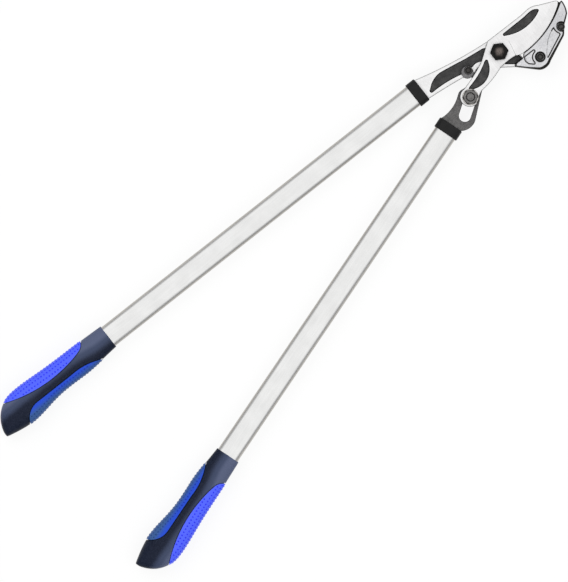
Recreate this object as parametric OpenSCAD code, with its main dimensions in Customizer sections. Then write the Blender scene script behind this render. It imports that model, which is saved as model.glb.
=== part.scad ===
// Anvil lopper with a double-lever head: a fixed jaw with a bolted anvil, a swinging blade,
// and a second handle that drives the blade's tail through a pin in a slot.
// The origin lies on the main pivot's axis, on the plane that the tool rests on. X runs along
// the jaw handle towards the jaws, Y points away from the lever handle, and Z points up.

/* [Handles] */
// Width of the flat-oval handle tube
tube_w = 30; // [26:0.5:36]
// Thickness of the handle tube
tube_t = 16; // [14:0.5:20]
// Wall of the handle tube
tube_wall = 1.5; // [1:0.1:2]
// Rounding of the tube's long edges
tube_r = 6; // [4:0.5:6.5]
// Bare tube between collar and grip
tube_show = 501; // [250:1:700]
// Tube hidden inside the grip
tube_in_grip = 125; // [80:1:140]
// Angle between the handles with the jaws closed
handle_angle = 17.7; // [15:0.1:21]
// Distance of the jaw handle's axis from the main pivot
jaw_offset = 23.8; // [22:0.1:26]
// Distance along the jaw handle from the main pivot to its collar
jaw_reach = 108.3; // [104:0.1:120]
// Distance along the lever handle from the main pivot to its collar
lever_reach = 112.2; // [109:0.1:125]
// Distance of the lever handle's axis from the main pivot
lever_offset = -1.3; // [-3:0.1:1]

/* [Collars and tangs] */
// Length of a collar
collar_len = 14; // [11:0.1:18]
// How far a collar stands out around the tube
collar_wall = 2; // [1.2:0.1:3]
// Front wall of a collar, which the tang passes through
collar_face = 2; // [1.5:0.1:3]
// Width of the tangs inside the handles
tang_w = 18; // [14:0.5:20]
// Length of the tangs inside the handles
tang_len = 45; // [30:1:60]
// Thickness of the jaw arm's tang
jaw_tang_t = 5; // [4:0.5:7]
// Plug left behind the tang's end
plug_end = 5; // [3:0.5:10]
// Diameter of the rivet through tube, plug and tang
rivet_d = 5; // [3:0.5:6]

/* [Grips] */
// Length of a grip
grip_len = 182.5; // [170:0.5:210]
// Thickness of the soft pads let into the grip
pad_t = 2.5; // [1.5:0.1:3]
// How far the pads stand out of the grip
pad_proud = 0.4; // [0.2:0.1:1]
// Groove around each pad
pad_groove = 0.5; // [0.3:0.1:0.8]

/* [Jaws] */
// Reach of the blade in front of the main pivot
jaw_len = 100; // [90:1:115]
// Thickness of the blade
blade_t = 5; // [4:0.1:6]
// Width of the grind along the cutting edge, on both faces
bevel_w = 18; // [10:0.5:20]
// Flat left on the cutting edge
edge_flat = 0.4; // [0.2:0.1:1]
// Room left between the cutting edge and the anvil when closed
landing_gap = 0.3; // [0.2:0.1:1]
// Room left between the blade's tip and the anvil when closed
tip_gap = 1.6; // [0.5:0.1:3]
// Thickness of the jaw arm
jaw_t = 9; // [8:0.1:11]
// Thickness of the jaw arm under the anvil
seat_t = 5; // [4:0.1:6]
// How far the jaw arm's seat reaches under the blade's edge
seat_ledge = 2.5; // [1:0.1:4]
// Thickness of the anvil
anvil_t = 11.5; // [10.5:0.1:14]
// Depth of the pockets in the blade, the jaw arm and the anvil
pocket_depth = 1.2; // [0.6:0.1:1.5]

/* [Lever] */
// Thickness of the lever plate
lever_t = 5; // [4.5:0.1:6]
// Width of the slot that the link bolt runs in
slot_w = 15.5; // [14:0.1:17]
// Metal left between the slot's far end and the collar
slot_end_wall = 11.3; // [8:0.1:14]
// Slope of the slot against the jaw handle
slot_angle = 33.4; // [31:0.1:36]
// Sideways shift of the slot's axis from the link bolt at rest
slot_shift = 1; // [0:0.1:1.5]
// Room on each side between the link bolt's shank and the slot
slot_play = 2.75; // [2.5:0.05:3.5]
// Radius of the lever plate's end around its pivot pin
lever_end_r = 7.2; // [6.5:0.1:7.5]
// How far the lever handle opens
lever_open = 62; // [40:1:64]

/* [Main pivot] */
// Diameter of the pivot bolt
pivot_d = 14; // [12:0.5:16]
// Width across flats of the pivot bolt's head
pivot_af = 21; // [20:0.5:26]
// Height of the pivot bolt's head
pivot_head_h = 8; // [5:0.5:10]
// Height of the thin nut behind the jaw arm
pivot_nut_h = 7; // [5:0.5:8]
// Thickness of the washer behind the jaw arm
pivot_washer_t = 1.5; // [1:0.1:2.5]
// Thread that stands out behind the nut
pivot_stick = 1; // [0.5:0.1:2]
// Wall of the bush that the blade turns on
bush_wall = 2; // [1.5:0.1:3]
// Diameter of the thrust washer under the blade
thrust_d = 29; // [26:0.5:31]
// Thickness of the thrust washer
thrust_t = 1; // [0.6:0.1:1.5]

/* [Lever pin] */
// Place of the lever pin, along the jaw handle
lever_pin_x = -35; // [-37:0.5:-33]
// Place of the lever pin, across the jaw handle
lever_pin_y = -8; // [-9:0.5:-7]
// Diameter of the lever pin
lever_pin_d = 8; // [6:0.5:8.5]
// Diameter of the lever pin's flat head
lever_pin_head_d = 10.6; // [9.5:0.1:11]
// Height of the lever pin's flat head
lever_pin_head_h = 1.8; // [1.2:0.1:2]
// Width across flats of the thin nut on the lever pin
lever_pin_af = 13; // [11:0.5:14]
// Height of the thin nut on the lever pin
lever_pin_nut_h = 4; // [3:0.5:5]
// Thickness of the washer on the lever pin
lever_pin_washer_t = 1.2; // [0.8:0.1:1.6]

/* [Link bolt] */
// Place of the link bolt, along the jaw handle
link_x = -65.4; // [-67:0.1:-64]
// Place of the link bolt, across the jaw handle
link_y = -22.9; // [-24:0.1:-22]
// Diameter of the link bolt's thread
link_d = 10; // [8:0.5:11]
// Width across flats of the link nut
link_af = 18; // [16:0.5:19]
// Height of the link nut
link_nut_h = 6.5; // [5:0.5:8]
// Diameter of the washer under the link nut
link_washer_d = 21; // [20:0.5:24]
// Thickness of the washer under the link nut
link_washer_t = 1.5; // [1:0.1:2]
// Diameter of the flat head behind the lever plate
link_head_d = 21; // [19:0.5:23]
// Thickness of the flat head behind the lever plate
link_head_h = 3; // [2:0.1:3.5]

/* [Stop] */
// Place of the stop's screw, along the jaw handle
stop_x = -46.1; // [-48:0.1:-45]
// Place of the stop's screw, across the jaw handle
stop_y = 5.9; // [5.5:0.1:8]
// Radius of the eccentric stop disc
stop_r = 7.9; // [7:0.1:8.2]
// Distance from the stop's screw to the disc's centre
stop_throw = 3.1; // [2:0.1:3.3]
// Direction from the stop's screw to the disc's centre
stop_angle = 211; // [180:1:215]
// Thickness of the stop disc
stop_t = 6; // [5:0.5:8]

/* [Socket screws] */
// Thread of the socket screws
screw_d = 6; // [5:0.5:6]
// Diameter of a socket screw's head
screw_head_d = 10; // [9:0.1:10.4]
// Height of a socket screw's head
screw_head_h = 6; // [5:0.1:6.5]
// Width across flats of the hexagon socket
socket_af = 5; // [3:0.5:5]
// Depth of the hexagon socket
socket_depth = 3; // [2:0.1:4]
// Room around a sunk screw head
counterbore_gap = 1.3; // [0.5:0.1:1.6]

/* [Hidden] */
// Radial clearance of a pin in its bore
fit = 0.05;
// Room between plates that slide past each other
plate_gap = 0.25;
// Float of the blade between thrust washer and bolt head
float_gap = 0.05;
// Room around pieces that swing in a pocket
swing_gap = 0.5;
// Metal left around a bore or a screw head
boss_wall = 2;
// How far the stop's boss stays inside the rim of the stop disc
stop_rim = 0.7;
// Rim left between the thrust washer and the pocket beside it
thrust_rim = 1;
// Share of the width across flats that stays flat on top of a head or nut, and the slope beside it
crown = 0.95;
crown_angle = 30;
// Slope of the line where the blade's grind ends
grind_tilt = 12;
// Extra length of a cutting tool past the face that it cuts
over = 1;
// Sizes that the outlines of the jaws and the grips are drawn for
drawn_jaw_len = 100;
drawn_grip_len = 182.5;
// Straight pieces in each arc of an outline
arc_steps = 12;
$fn = 64;

// Heights from the resting plane upwards
jaw_z = pivot_stick + pivot_nut_h + pivot_washer_t;
front_z = jaw_z + jaw_t;
lever_z = front_z - lever_t;
handle_z = front_z - lever_t / 2;
blade_z = front_z + plate_gap;
blade_top = blade_z + blade_t;
anvil_z = jaw_z + seat_t;
anvil_top = anvil_z + anvil_t;
head_z = blade_top + float_gap;
thrust_z = blade_z - float_gap - thrust_t;

// Centres of the pivots and screws, seen from above
lever_pin = [lever_pin_x, lever_pin_y];
link = [link_x, link_y];
stop_screw_at = [stop_x, stop_y];
stop_disc_at = stop_screw_at + stop_throw * [cos(stop_angle), sin(stop_angle)];
anvil_screws_at = [ahead(37.4, -38), ahead(82.6, -24.1)];

bush_d = pivot_d + 2 * bush_wall;
shank_d = slot_w - 2 * slot_play;
counterbore_r = screw_head_d / 2 + counterbore_gap;
stop_boss_r = stop_r - stop_rim;
pivot_washer_r = pivot_d;
lever_pin_washer_r = lever_pin_d;
grip_x = -collar_len - tube_show;
rivet_x = -(collar_face + collar_len) / 2;
bore_w = tube_w - 2 * tube_wall;
bore_t = tube_t - 2 * tube_wall;
bore_r = tube_r - tube_wall;

// Slot in the lever plate: direction, side and the two end centres
slot_dir = -[cos(slot_angle), sin(slot_angle)];
slot_side = [-slot_dir.y, slot_dir.x];
slot_near = link + slot_shift * slot_side - slot_play * slot_dir;
slot_len = (along_lever(slot_near) - slot_end_wall - slot_w / 2) / cos(slot_angle - handle_angle);
slot_far = slot_near + slot_len * slot_dir;

// Directions in which the lever plate's hidden edges leave its end at the pin
lever_upper_side = 111;
lever_lower_side = -56;

// A point of the jaws, stretched from the drawn reach to the set reach
function ahead(x, y) = [x * jaw_len / drawn_jaw_len, y];

// A point beside the link bolt
function by_link(dx, dy) = link + [dx, dy];

// A point on the lever handle, from its collar's face and its axis
function on_lever(x, y) =
    let (
        along = x - lever_reach,
        aside = y + lever_offset
    )
    [
        along * cos(handle_angle) - aside * sin(handle_angle),
        along * sin(handle_angle) + aside * cos(handle_angle)
    ];

// Distance of a point in front of the lever handle's collar
function along_lever(p) = p.x * cos(handle_angle) + p.y * sin(handle_angle) + lever_reach;

// A point on the lever plate's neck, from its share of the way between collar and link bolt
function on_neck(share, y) = on_lever(share * along_lever(link), y);

// A point on the jaw handle, from its collar's face and its axis
function on_jaw(x, y) = [x - jaw_reach, y + jaw_offset];

// A point on a circle
function around(centre, r, angle) = centre + r * [cos(angle), sin(angle)];

// Centre of the circle through three points
function arc_centre(a, b, c) =
    let (d = 2 * (a.x * (b.y - c.y) + b.x * (c.y - a.y) + c.x * (a.y - b.y)))
    [
        ((a * a) * (b.y - c.y) + (b * b) * (c.y - a.y) + (c * c) * (a.y - b.y)) / d,
        ((a * a) * (c.x - b.x) + (b * b) * (a.x - c.x) + (c * c) * (b.x - a.x)) / d
    ];

// Points of the arc from a through b to c
function arc(a, b, c) =
    let (
        o = arc_centre(a, b, c),
        r = norm(a - o),
        start = atan2(a.y - o.y, a.x - o.x),
        turn = atan2(c.y - o.y, c.x - o.x) - start,
        left = cross(b - a, c - b) > 0,
        sweep = left ? (turn < 0 ? turn + 360 : turn) : (turn > 0 ? turn - 360 : turn)
    )
    [for (i = [0 : arc_steps]) around(o, r, start + sweep * i / arc_steps)];

// Outlines seen from above, in order round the shape

edge_end = ahead(14, -17.4);
edge_heel = ahead(25, -20.7);
edge_belly = ahead(65, -15.4);
edge_tip = ahead(97.3, 0.8);
edge_centre = arc_centre(edge_tip, edge_belly, edge_heel);
edge_r = norm(edge_tip - edge_centre);

// A point in front of the cutting edge, from a point on the edge and its distance
function past_edge(p, gap) = p + gap * (p - edge_centre) / edge_r;

function blade_outline() = concat(
    [ahead(0, 20), ahead(50, 19.6)],
    arc(ahead(60, 20.3), ahead(68, 19.9), ahead(76, 16.5)),
    [ahead(98, 6.6), ahead(100, 4.3)],
    arc(edge_tip, edge_belly, edge_heel),
    arc(edge_heel, ahead(18, -19.4), edge_end),
    arc(ahead(10, -16.7), [0, -16.3], [-10.8, -17.1]),
    arc([-14, -18.3], by_link(35.4, -0.1), by_link(17.1, -2.6)),
    arc(by_link(16.6, -2.7), by_link(8.9, -6.4), by_link(1, -12)),
    arc(by_link(0.5, -12.1), by_link(-13, -1), by_link(1, 13.2)),
    arc(by_link(4, 14.2), by_link(20.4, 19.2), by_link(39.6, 27.1)),
    [[-17.5, 10], [-3.5, 20]]
);

function blade_front_pocket() = concat(
    arc(ahead(18.6, 11.3), ahead(17, 13.6), ahead(19, 15.3)),
    [ahead(50, 15.5)],
    arc(ahead(62, 16.4), ahead(67, 16), ahead(73, 12.7)),
    arc(ahead(73.4, 12), ahead(73.6, 11), ahead(72.6, 9.9)),
    arc(ahead(70.4, 8.5), ahead(46.5, 3.5), ahead(23.5, 8.8))
);

function blade_tail_pocket() = concat(
    arc(by_link(9.4, 5.2), by_link(4.6, 8.6), by_link(6.2, 10.8)),
    arc(by_link(10, 11.8), by_link(32, 19.1), by_link(43, 25)),
    arc(by_link(44, 25.4), by_link(46.6, 24.8), by_link(46.6, 22)),
    arc(by_link(45, 17.9), by_link(29.6, 4.2), by_link(14.6, 3.7))
);

function jaw_outline() = concat(
    [on_jaw(0, -tube_w / 2)],
    arc(on_jaw(0.1, -tube_w / 2), [-83, 6.1], [-58, 2.8]),
    [stop_disc_at + [-2, -5], lever_pin + [-7, -5], lever_pin + [1, -9.4], [-10, -17.6]],
    [ahead(4.6, -28.3), ahead(8.1, -31.2), ahead(19.3, -30), ahead(19.3, -21), ahead(17.5, -10)],
    arc([17, 6], [13, 13.4], [5, 18]),
    arc([-4, 20], [-59.6, 27.6], on_jaw(0, tube_w / 2))
);

function jaw_pocket() = concat(
    arc(on_jaw(9, -12), on_jaw(6.3, -10), on_jaw(8.5, -6.6)),
    arc(on_jaw(8.7, -6.4), on_jaw(18.3, 0), on_jaw(31.8, 2.6)),
    [[-60, 23.8], [-40, 20.1], [-14.2, 16.7], [-10, 14.6], [-24, 3.6]],
    arc([-29.5, 5.9], [-33.5, 6.7], [-38, 5.8]),
    [stop_screw_at],
    arc([-56.7, 7.1], [-78, 11], on_jaw(9.2, -12))
);

function neck_pocket() = concat(
    [[-4.2, -17.2], [-2, -15]],
    arc(ahead(12, -15), ahead(17.4, -18.6), ahead(17.8, -25.2)),
    [ahead(6.4, -25.6)]
);

function anvil_outline() = concat(
    arc(ahead(5, -28.7), ahead(7.4, -26.1), ahead(10.4, -25.4)),
    arc(ahead(17.3, -25.4), ahead(21, -23.8), ahead(23.1, -21.3)),
    arc(
        past_edge(edge_heel, landing_gap), past_edge(edge_belly, landing_gap), past_edge(edge_tip, tip_gap)
    ),
    arc(ahead(101.8, 1.5), ahead(103.3, 2.3), ahead(104.3, 0.8)),
    arc(ahead(104.3, 0.5), ahead(103, -7.5), ahead(99.6, -15.4)),
    [ahead(95, -19.2), ahead(89, -23.7)],
    arc(ahead(82, -31.6), ahead(79.6, -34.4), ahead(76, -36.5)),
    arc(ahead(45, -50.4), ahead(36, -53.5), ahead(26.5, -50.4))
);

// The ledge of the jaw arm under the slit between the cutting edge and the anvil
function ledge_outline() = concat(
    arc(
        past_edge(edge_heel, -seat_ledge), past_edge(edge_belly, -seat_ledge),
        past_edge(edge_tip, -seat_ledge)
    ),
    [ahead(99.6, 3.6), ahead(102.4, 1.2)],
    arc(past_edge(edge_tip, tip_gap + over), past_edge(edge_belly, over), past_edge(edge_heel, over))
);

function anvil_long_pocket() = concat(
    arc(ahead(45.2, -44.6), ahead(44.3, -44), ahead(44.6, -43)),
    arc(ahead(48.8, -37.3), ahead(61, -25.5), ahead(72, -19.6)),
    arc(ahead(74.2, -19.2), ahead(73.8, -24), ahead(75.8, -29.5)),
    [ahead(75.2, -31.2)]
);

function anvil_short_pocket() = concat(
    arc(ahead(19.3, -32.4), ahead(19.6, -28.5), ahead(22, -25.5)),
    arc(ahead(36, -25.5), ahead(36.9, -26.9), ahead(35.6, -28.6)),
    arc(ahead(34.5, -28.9), ahead(29.4, -32), ahead(27.6, -39)),
    arc(ahead(27.4, -39.6), ahead(26.2, -40.8), ahead(25, -40.2)),
    [ahead(20.4, -35.8)]
);

function lever_outline() = concat(
    [on_lever(0, tube_w / 2)],
    arc(on_neck(0.01, tube_w / 2), on_neck(0.36, 11.2), on_neck(0.81, 13.6)),
    arc(by_link(-9, 13.2), by_link(-5, 14.5), by_link(-1.3, 14.1)),
    [by_link(7.4, 13.4)],
    [for (i = [0 : arc_steps])
        let (turn = (lever_lower_side - lever_upper_side) * i / arc_steps)
        around(lever_pin, lever_end_r, lever_upper_side + turn)],
    [by_link(21.4, 0.4), by_link(17.1, -2.9)],
    arc(on_neck(0.48, -23.2), on_neck(0.21, -22.2), on_lever(0, -tube_w / 2))
);

// A plate of the given outline between two heights
module plate(z0, z1) {
    translate([0, 0, z0]) linear_extrude(z1 - z0) children();
}

// A round bar or bore on an upright axis
module upright(at, r, z0, z1) {
    translate([at.x, at.y, z0]) cylinder(r = r, h = z1 - z0);
}

// A hexagon bar on an upright axis, with two corners across the handles
module hexagon(at, af, z0, z1) {
    translate([at.x, at.y, z0]) rotate(30) cylinder(d = af / cos(30), h = z1 - z0, $fn = 6);
}

// A hexagon head or nut with the corners of its upper side taken off
module hexagon_head(at, af, z0, z1) {
    top_r = crown * af / 2;
    intersection() {
        hexagon(at, af, z0, z1);
        translate([at.x, at.y, z0])
            cylinder(r1 = top_r + (z1 - z0) / tan(crown_angle), r2 = top_r, h = z1 - z0);
    }
}

// A ring lying flat
module ring(at, r_out, r_in, z0, z1) {
    difference() {
        upright(at, r_out, z0, z1);
        upright(at, r_in, z0 - over, z1 + over);
    }
}

// A rectangle with rounded corners, centred
module rounded(w, t, r) {
    square([w - 2 * r, t], center = true);
    square([w, t - 2 * r], center = true);
    for (x = [-1, 1], y = [-1, 1])
        translate([x * (w / 2 - r), y * (t / 2 - r)]) circle(r);
}

// A bar along a handle with the given cross-section, from x0 to x1
module bar(x0, x1) {
    translate([x0, 0, handle_z]) rotate([90, 0, 90]) linear_extrude(x1 - x0) children();
}

// A slot with round ends between two points
module slot(a, b, r) {
    side = r * [a.y - b.y, b.x - a.x] / norm(b - a);
    translate(a) circle(r);
    translate(b) circle(r);
    polygon([a + side, b + side, b - side, a - side]);
}

module on_jaw_handle() {
    translate([-jaw_reach, jaw_offset, 0]) children();
}

module on_lever_handle() {
    rotate(handle_angle) translate([-lever_reach, lever_offset, 0]) mirror([0, 1, 0]) children();
}

// Handle pieces, with the collar's front face at x = 0 and the grip towards -X

module handle_tube() {
    difference() {
        bar(grip_x - tube_in_grip, -collar_face) rounded(tube_w, tube_t, tube_r);
        bar(grip_x - tube_in_grip - over, -collar_face + over) rounded(bore_w, bore_t, bore_r);
        upright([rivet_x, 0], rivet_d / 2 + fit, handle_z - tube_t, handle_z + tube_t);
    }
}

module handle_collar(tang_t) {
    difference() {
        bar(-collar_len, 0)
            rounded(tube_w + 2 * collar_wall, tube_t + 2 * collar_wall, tube_r + collar_wall);
        bar(-collar_len - over, -collar_face) rounded(tube_w + 2 * fit, tube_t + 2 * fit, tube_r + fit);
        bar(-collar_face - over, over) square([tang_w + 2 * fit, tang_t + 2 * fit], center = true);
    }
}

module handle_plug(tang_t) {
    difference() {
        bar(-tang_len - plug_end, -collar_face) rounded(bore_w - 2 * fit, bore_t - 2 * fit, bore_r - fit);
        bar(-tang_len - fit, over) square([tang_w + 2 * fit, tang_t + 2 * fit], center = true);
        upright([rivet_x, 0], rivet_d / 2 + fit, handle_z - tube_t, handle_z + tube_t);
    }
}

module handle_rivet() {
    upright([rivet_x, 0], rivet_d / 2, handle_z - tube_t / 2, handle_z + tube_t / 2);
}

// The tang's bar, long enough to merge with its plate, with the rivet's hole
module handle_tang(tang_t) {
    difference() {
        bar(-tang_len, tang_w / 2) square([tang_w, tang_t], center = true);
        upright([rivet_x, 0], rivet_d / 2 + fit, handle_z - tube_t, handle_z + tube_t);
    }
}

// Sections of the grip, stretched from the drawn length to the set length: distance
// from the grip's mouth, how far the outer and the inner edge stand out beside the tube, and the
// share that is filled of the height between the tube and the resting plane
grip_sections = [
    [0, 1.6, 1.4, 0.22], [18, 2.4, 2.9, 0.36], [36, 3.1, 5, 0.52], [52, 3.2, 5.6, 0.64],
    [70, 3.4, 4.7, 0.72], [88, 3.9, 4.6, 0.78], [104, 4.8, 6.1, 0.86], [118, 5.7, 8.6, 0.94],
    [132, 6.1, 10.9, 1], [144, 5.7, 11.6, 1], [152, 4.3, 11.1, 0.96], [160, 1.3, 10.1, 0.88],
    [168, -4.2, 8.7, 0.76], [174, -10.4, 7.4, 0.6], [178.5, -17.6, 6.4, 0.36], [181.3, -25.5, 5.6, 0],
    [182.5, -30.2, 5, -0.5]
];
grip_sides = 24;
// How square the grip's cross-section is, with 2 for an ellipse
grip_square = 2.5;

function signed_power(v, p) = sign(v) * pow(abs(v), p);

// One section of the grip, drawn in by inset
function grip_ring(section, inset) =
    let (
        outer = tube_w / 2 + section[1],
        inner = -tube_w / 2 - section[2],
        half_w = max((outer - inner) / 2 - inset, 0.5),
        half_t = max(tube_t / 2 + section[3] * (handle_z - tube_t / 2) - inset, 0.5),
        middle = (outer + inner) / 2
    )
    [for (i = [0 : grip_sides - 1])
        let (a = 360 * i / grip_sides)
        [
            grip_x - section[0] * grip_len / drawn_grip_len,
            middle + half_w * signed_power(cos(a), 2 / grip_square),
            handle_z + half_t * signed_power(sin(a), 2 / grip_square)
        ]];

// The grip's body, drawn in by inset
module grip_body(inset) {
    rings = len(grip_sections);
    points = [for (s = grip_sections) each grip_ring(s, inset)];
    sides = [for (r = [0 : rings - 2], i = [0 : grip_sides - 1])
        let (
            a = r * grip_sides + i,
            b = r * grip_sides + (i + 1) % grip_sides
        )
        each [[a, b, b + grip_sides], [a, b + grip_sides, a + grip_sides]]];
    mouth = [for (i = [1 : grip_sides - 2]) [0, i + 1, i]];
    last = (rings - 1) * grip_sides;
    pommel = [for (i = [1 : grip_sides - 2]) [last, last + i, last + i + 1]];
    polyhedron(points, concat(sides, mouth, pommel));
}

// A point on the grip, from its mouth towards the pommel and from the tube's axis outwards
function on_grip(s, v) = [grip_x - s * grip_len / drawn_grip_len, v];

function outer_pad_outline(grow) = concat(
    arc(on_grip(33 - grow, 19), on_grip(35.5 - grow, 13.4), on_grip(43.5, 8.4 - grow)),
    arc(on_grip(47.5, 7.2 - grow), on_grip(95, 2.4 - grow), on_grip(161 + grow, 16.4)),
    [on_grip(161 + grow, 40), on_grip(33 - grow, 40)]
);

function inner_pad_outline(grow) = concat(
    arc(on_grip(23.5 - grow, -18.6), on_grip(46, -11 + grow), on_grip(69, -9.8 + grow)),
    arc(on_grip(124, -9.8 + grow), on_grip(139 + grow, -14.6), on_grip(148.5 + grow, -27)),
    [on_grip(148.5 + grow, -45), on_grip(23.5 - grow, -45)]
);

// The upright column over a pad's outline
module pad_column(outline) {
    plate(-over, 2 * handle_z + over) polygon(outline);
}

// The room that the handle tube fills inside the grip
module tube_room() {
    bar(grip_x - tube_in_grip - fit, grip_x + over)
        rounded(tube_w + 2 * fit, tube_t + 2 * fit, tube_r + fit);
}

module grip_pad(outline) {
    intersection() {
        pad_column(outline);
        difference() {
            grip_body(-pad_proud);
            grip_body(pad_t);
            tube_room();
        }
    }
}

module handle_grip() {
    difference() {
        grip_body(0);
        for (outline = [outer_pad_outline(pad_groove), inner_pad_outline(pad_groove)])
            intersection() {
                pad_column(outline);
                difference() {
                    grip_body(-over);
                    grip_body(pad_t + fit);
                }
            }
        tube_room();
    }
}

// A socket screw standing with its head's underside at head_at
module socket_screw(at, z0, head_at) {
    top = head_at + screw_head_h;
    difference() {
        union() {
            upright(at, screw_d / 2, z0, head_at + fit);
            upright(at, screw_head_d / 2, head_at, top);
        }
        hexagon(at, socket_af, top - socket_depth, top + over);
    }
}

// The room that the lever plate sweeps through between closed and open, beside its pin
module lever_sweep(z0, z1) {
    r = lever_end_r + swing_gap;
    reach = lever_reach;
    upper = around(lever_pin, r, lever_upper_side);
    lower = around(lever_pin, r, lever_lower_side + lever_open);
    upright(lever_pin, r, z0, z1);
    plate(z0, z1) polygon([
        lever_pin, upper, around(upper, reach, lever_upper_side + 90),
        around(lever_pin, 2 * reach, lever_upper_side + lever_open),
        around(lower, reach, lever_lower_side + lever_open - 90), lower
    ]);
}

module jaw_arm() {
    color("gainsboro") difference() {
        union() {
            plate(jaw_z, front_z) polygon(jaw_outline());
            upright(stop_disc_at, stop_boss_r, jaw_z, front_z);
            upright(lever_pin, lever_end_r + boss_wall, jaw_z, front_z);
            plate(jaw_z, anvil_z) polygon(anvil_outline());
            plate(jaw_z, anvil_z) polygon(ledge_outline());
            on_jaw_handle() handle_tang(jaw_tang_t);
        }
        plate(anvil_z, front_z + over) polygon(anvil_outline());
        lever_sweep(lever_z - plate_gap, front_z + over);
        difference() {
            plate(front_z - pocket_depth, front_z + over) polygon(jaw_pocket());
            upright(stop_screw_at, stop_r - stop_throw, 0, front_z + 2 * over);
        }
        difference() {
            plate(front_z - pocket_depth, front_z + over) polygon(neck_pocket());
            upright([0, 0], thrust_d / 2 + thrust_rim, 0, front_z + 2 * over);
        }
        upright([0, 0], thrust_d / 2 + fit, thrust_z, front_z + over);
        upright([0, 0], pivot_d / 2 + fit, -over, front_z + over);
        upright(lever_pin, lever_pin_d / 2 + fit, 0, front_z + over);
        upright(stop_screw_at, screw_d / 2 + fit, 0, front_z + over);
        for (at = anvil_screws_at)
            upright(at, screw_d / 2 + fit, 0, front_z + over);
    }
}

module anvil() {
    color("silver") difference() {
        plate(anvil_z, anvil_top) polygon(anvil_outline());
        for (outline = [anvil_long_pocket(), anvil_short_pocket()])
            plate(anvil_top - pocket_depth, anvil_top + over) polygon(outline);
        for (at = anvil_screws_at) {
            upright(at, screw_d / 2 + fit, anvil_z - over, anvil_top);
            upright(at, counterbore_r, anvil_top - screw_head_h, anvil_top + over);
        }
    }
}

module anvil_screws() {
    color("black") for (at = anvil_screws_at)
        socket_screw(at, jaw_z, anvil_top - screw_head_h);
}

module pivot_bolt() {
    color("black") union() {
        upright([0, 0], pivot_d / 2, 0, head_z + fit);
        hexagon_head([0, 0], pivot_af, head_z, head_z + pivot_head_h);
    }
}

module pivot_bush() {
    color("darkgoldenrod") ring([0, 0], bush_d / 2, pivot_d / 2 + fit, thrust_z, head_z);
}

module pivot_washer() {
    color("silver") ring([0, 0], pivot_washer_r, pivot_d / 2 + fit, jaw_z - pivot_washer_t, jaw_z);
}

module pivot_nut() {
    color("silver") difference() {
        hexagon([0, 0], pivot_af, pivot_stick, pivot_stick + pivot_nut_h);
        upright([0, 0], pivot_d / 2 + fit, 0, pivot_stick + pivot_nut_h + over);
    }
}

module thrust_washer() {
    color("darkgoldenrod") ring([0, 0], thrust_d / 2, bush_d / 2 + fit, thrust_z, thrust_z + thrust_t);
}

module lever_pin_bolt() {
    head_top = front_z - fit;
    color("dimgray") union() {
        upright(lever_pin, lever_pin_head_d / 2, head_top - lever_pin_head_h, head_top);
        upright(lever_pin, lever_pin_d / 2, jaw_z - lever_pin_washer_t - lever_pin_nut_h - pivot_stick,
            head_top - lever_pin_head_h + fit);
    }
}

module lever_pin_washer() {
    color("silver")
        ring(lever_pin, lever_pin_washer_r, lever_pin_d / 2 + fit, jaw_z - lever_pin_washer_t, jaw_z);
}

module lever_pin_nut() {
    top = jaw_z - lever_pin_washer_t;
    color("silver") difference() {
        hexagon(lever_pin, lever_pin_af, top - lever_pin_nut_h, top);
        upright(lever_pin, lever_pin_d / 2 + fit, 0, top + over);
    }
}

module stop_cam() {
    seat = front_z + stop_t - screw_head_h / 2;
    color("gray") difference() {
        upright(stop_disc_at, stop_r, front_z, front_z + stop_t);
        upright(stop_screw_at, screw_d / 2 + fit, front_z - over, front_z + stop_t);
        upright(stop_screw_at, screw_head_d / 2 + fit, seat, front_z + stop_t + over);
    }
}

module stop_screw() {
    color("black") socket_screw(stop_screw_at, jaw_z + over, front_z + stop_t - screw_head_h / 2);
}

// The disc that bounds the ground front of the blade, with a bevel on both sides
module edge_disc() {
    middle = blade_t / 2;
    translate([edge_centre.x, edge_centre.y, blade_z]) rotate_extrude($fn = 256) polygon([
        [0, 0], [edge_r - bevel_w, 0], [edge_r, middle - edge_flat / 2], [edge_r, middle + edge_flat / 2],
        [edge_r - bevel_w, blade_t], [0, blade_t]
    ]);
}

module blade() {
    color("whitesmoke") difference() {
        plate(blade_z, blade_top) polygon(blade_outline());
        difference() {
            translate([edge_end.x, edge_end.y, blade_z - over])
                rotate(-grind_tilt) translate([0, -jaw_len, 0])
                    cube([2 * jaw_len, 2 * jaw_len, blade_t + 2 * over]);
            translate([0, 0, -over]) edge_disc();
            edge_disc();
            translate([0, 0, over]) edge_disc();
        }
        for (outline = [blade_front_pocket(), blade_tail_pocket()])
            plate(blade_top - pocket_depth, blade_top + over) polygon(outline);
        upright([0, 0], bush_d / 2 + fit, blade_z - over, blade_top + over);
        upright(link, link_d / 2 + fit, blade_z - over, blade_top + over);
    }
}

module link_bolt() {
    head_top = lever_z - plate_gap;
    color("gray") union() {
        upright(link, link_head_d / 2, head_top - link_head_h, head_top);
        upright(link, shank_d / 2, head_top - fit, blade_z);
        upright(link, link_d / 2, blade_z - fit, blade_top + link_washer_t + link_nut_h + pivot_stick);
    }
}

module link_washer() {
    color("silver") ring(link, link_washer_d / 2, link_d / 2 + fit, blade_top, blade_top + link_washer_t);
}

module link_nut() {
    z0 = blade_top + link_washer_t;
    color("gray") difference() {
        hexagon_head(link, link_af, z0, z0 + link_nut_h);
        upright(link, link_d / 2 + fit, z0 - over, z0 + link_nut_h + over);
    }
}

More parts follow.
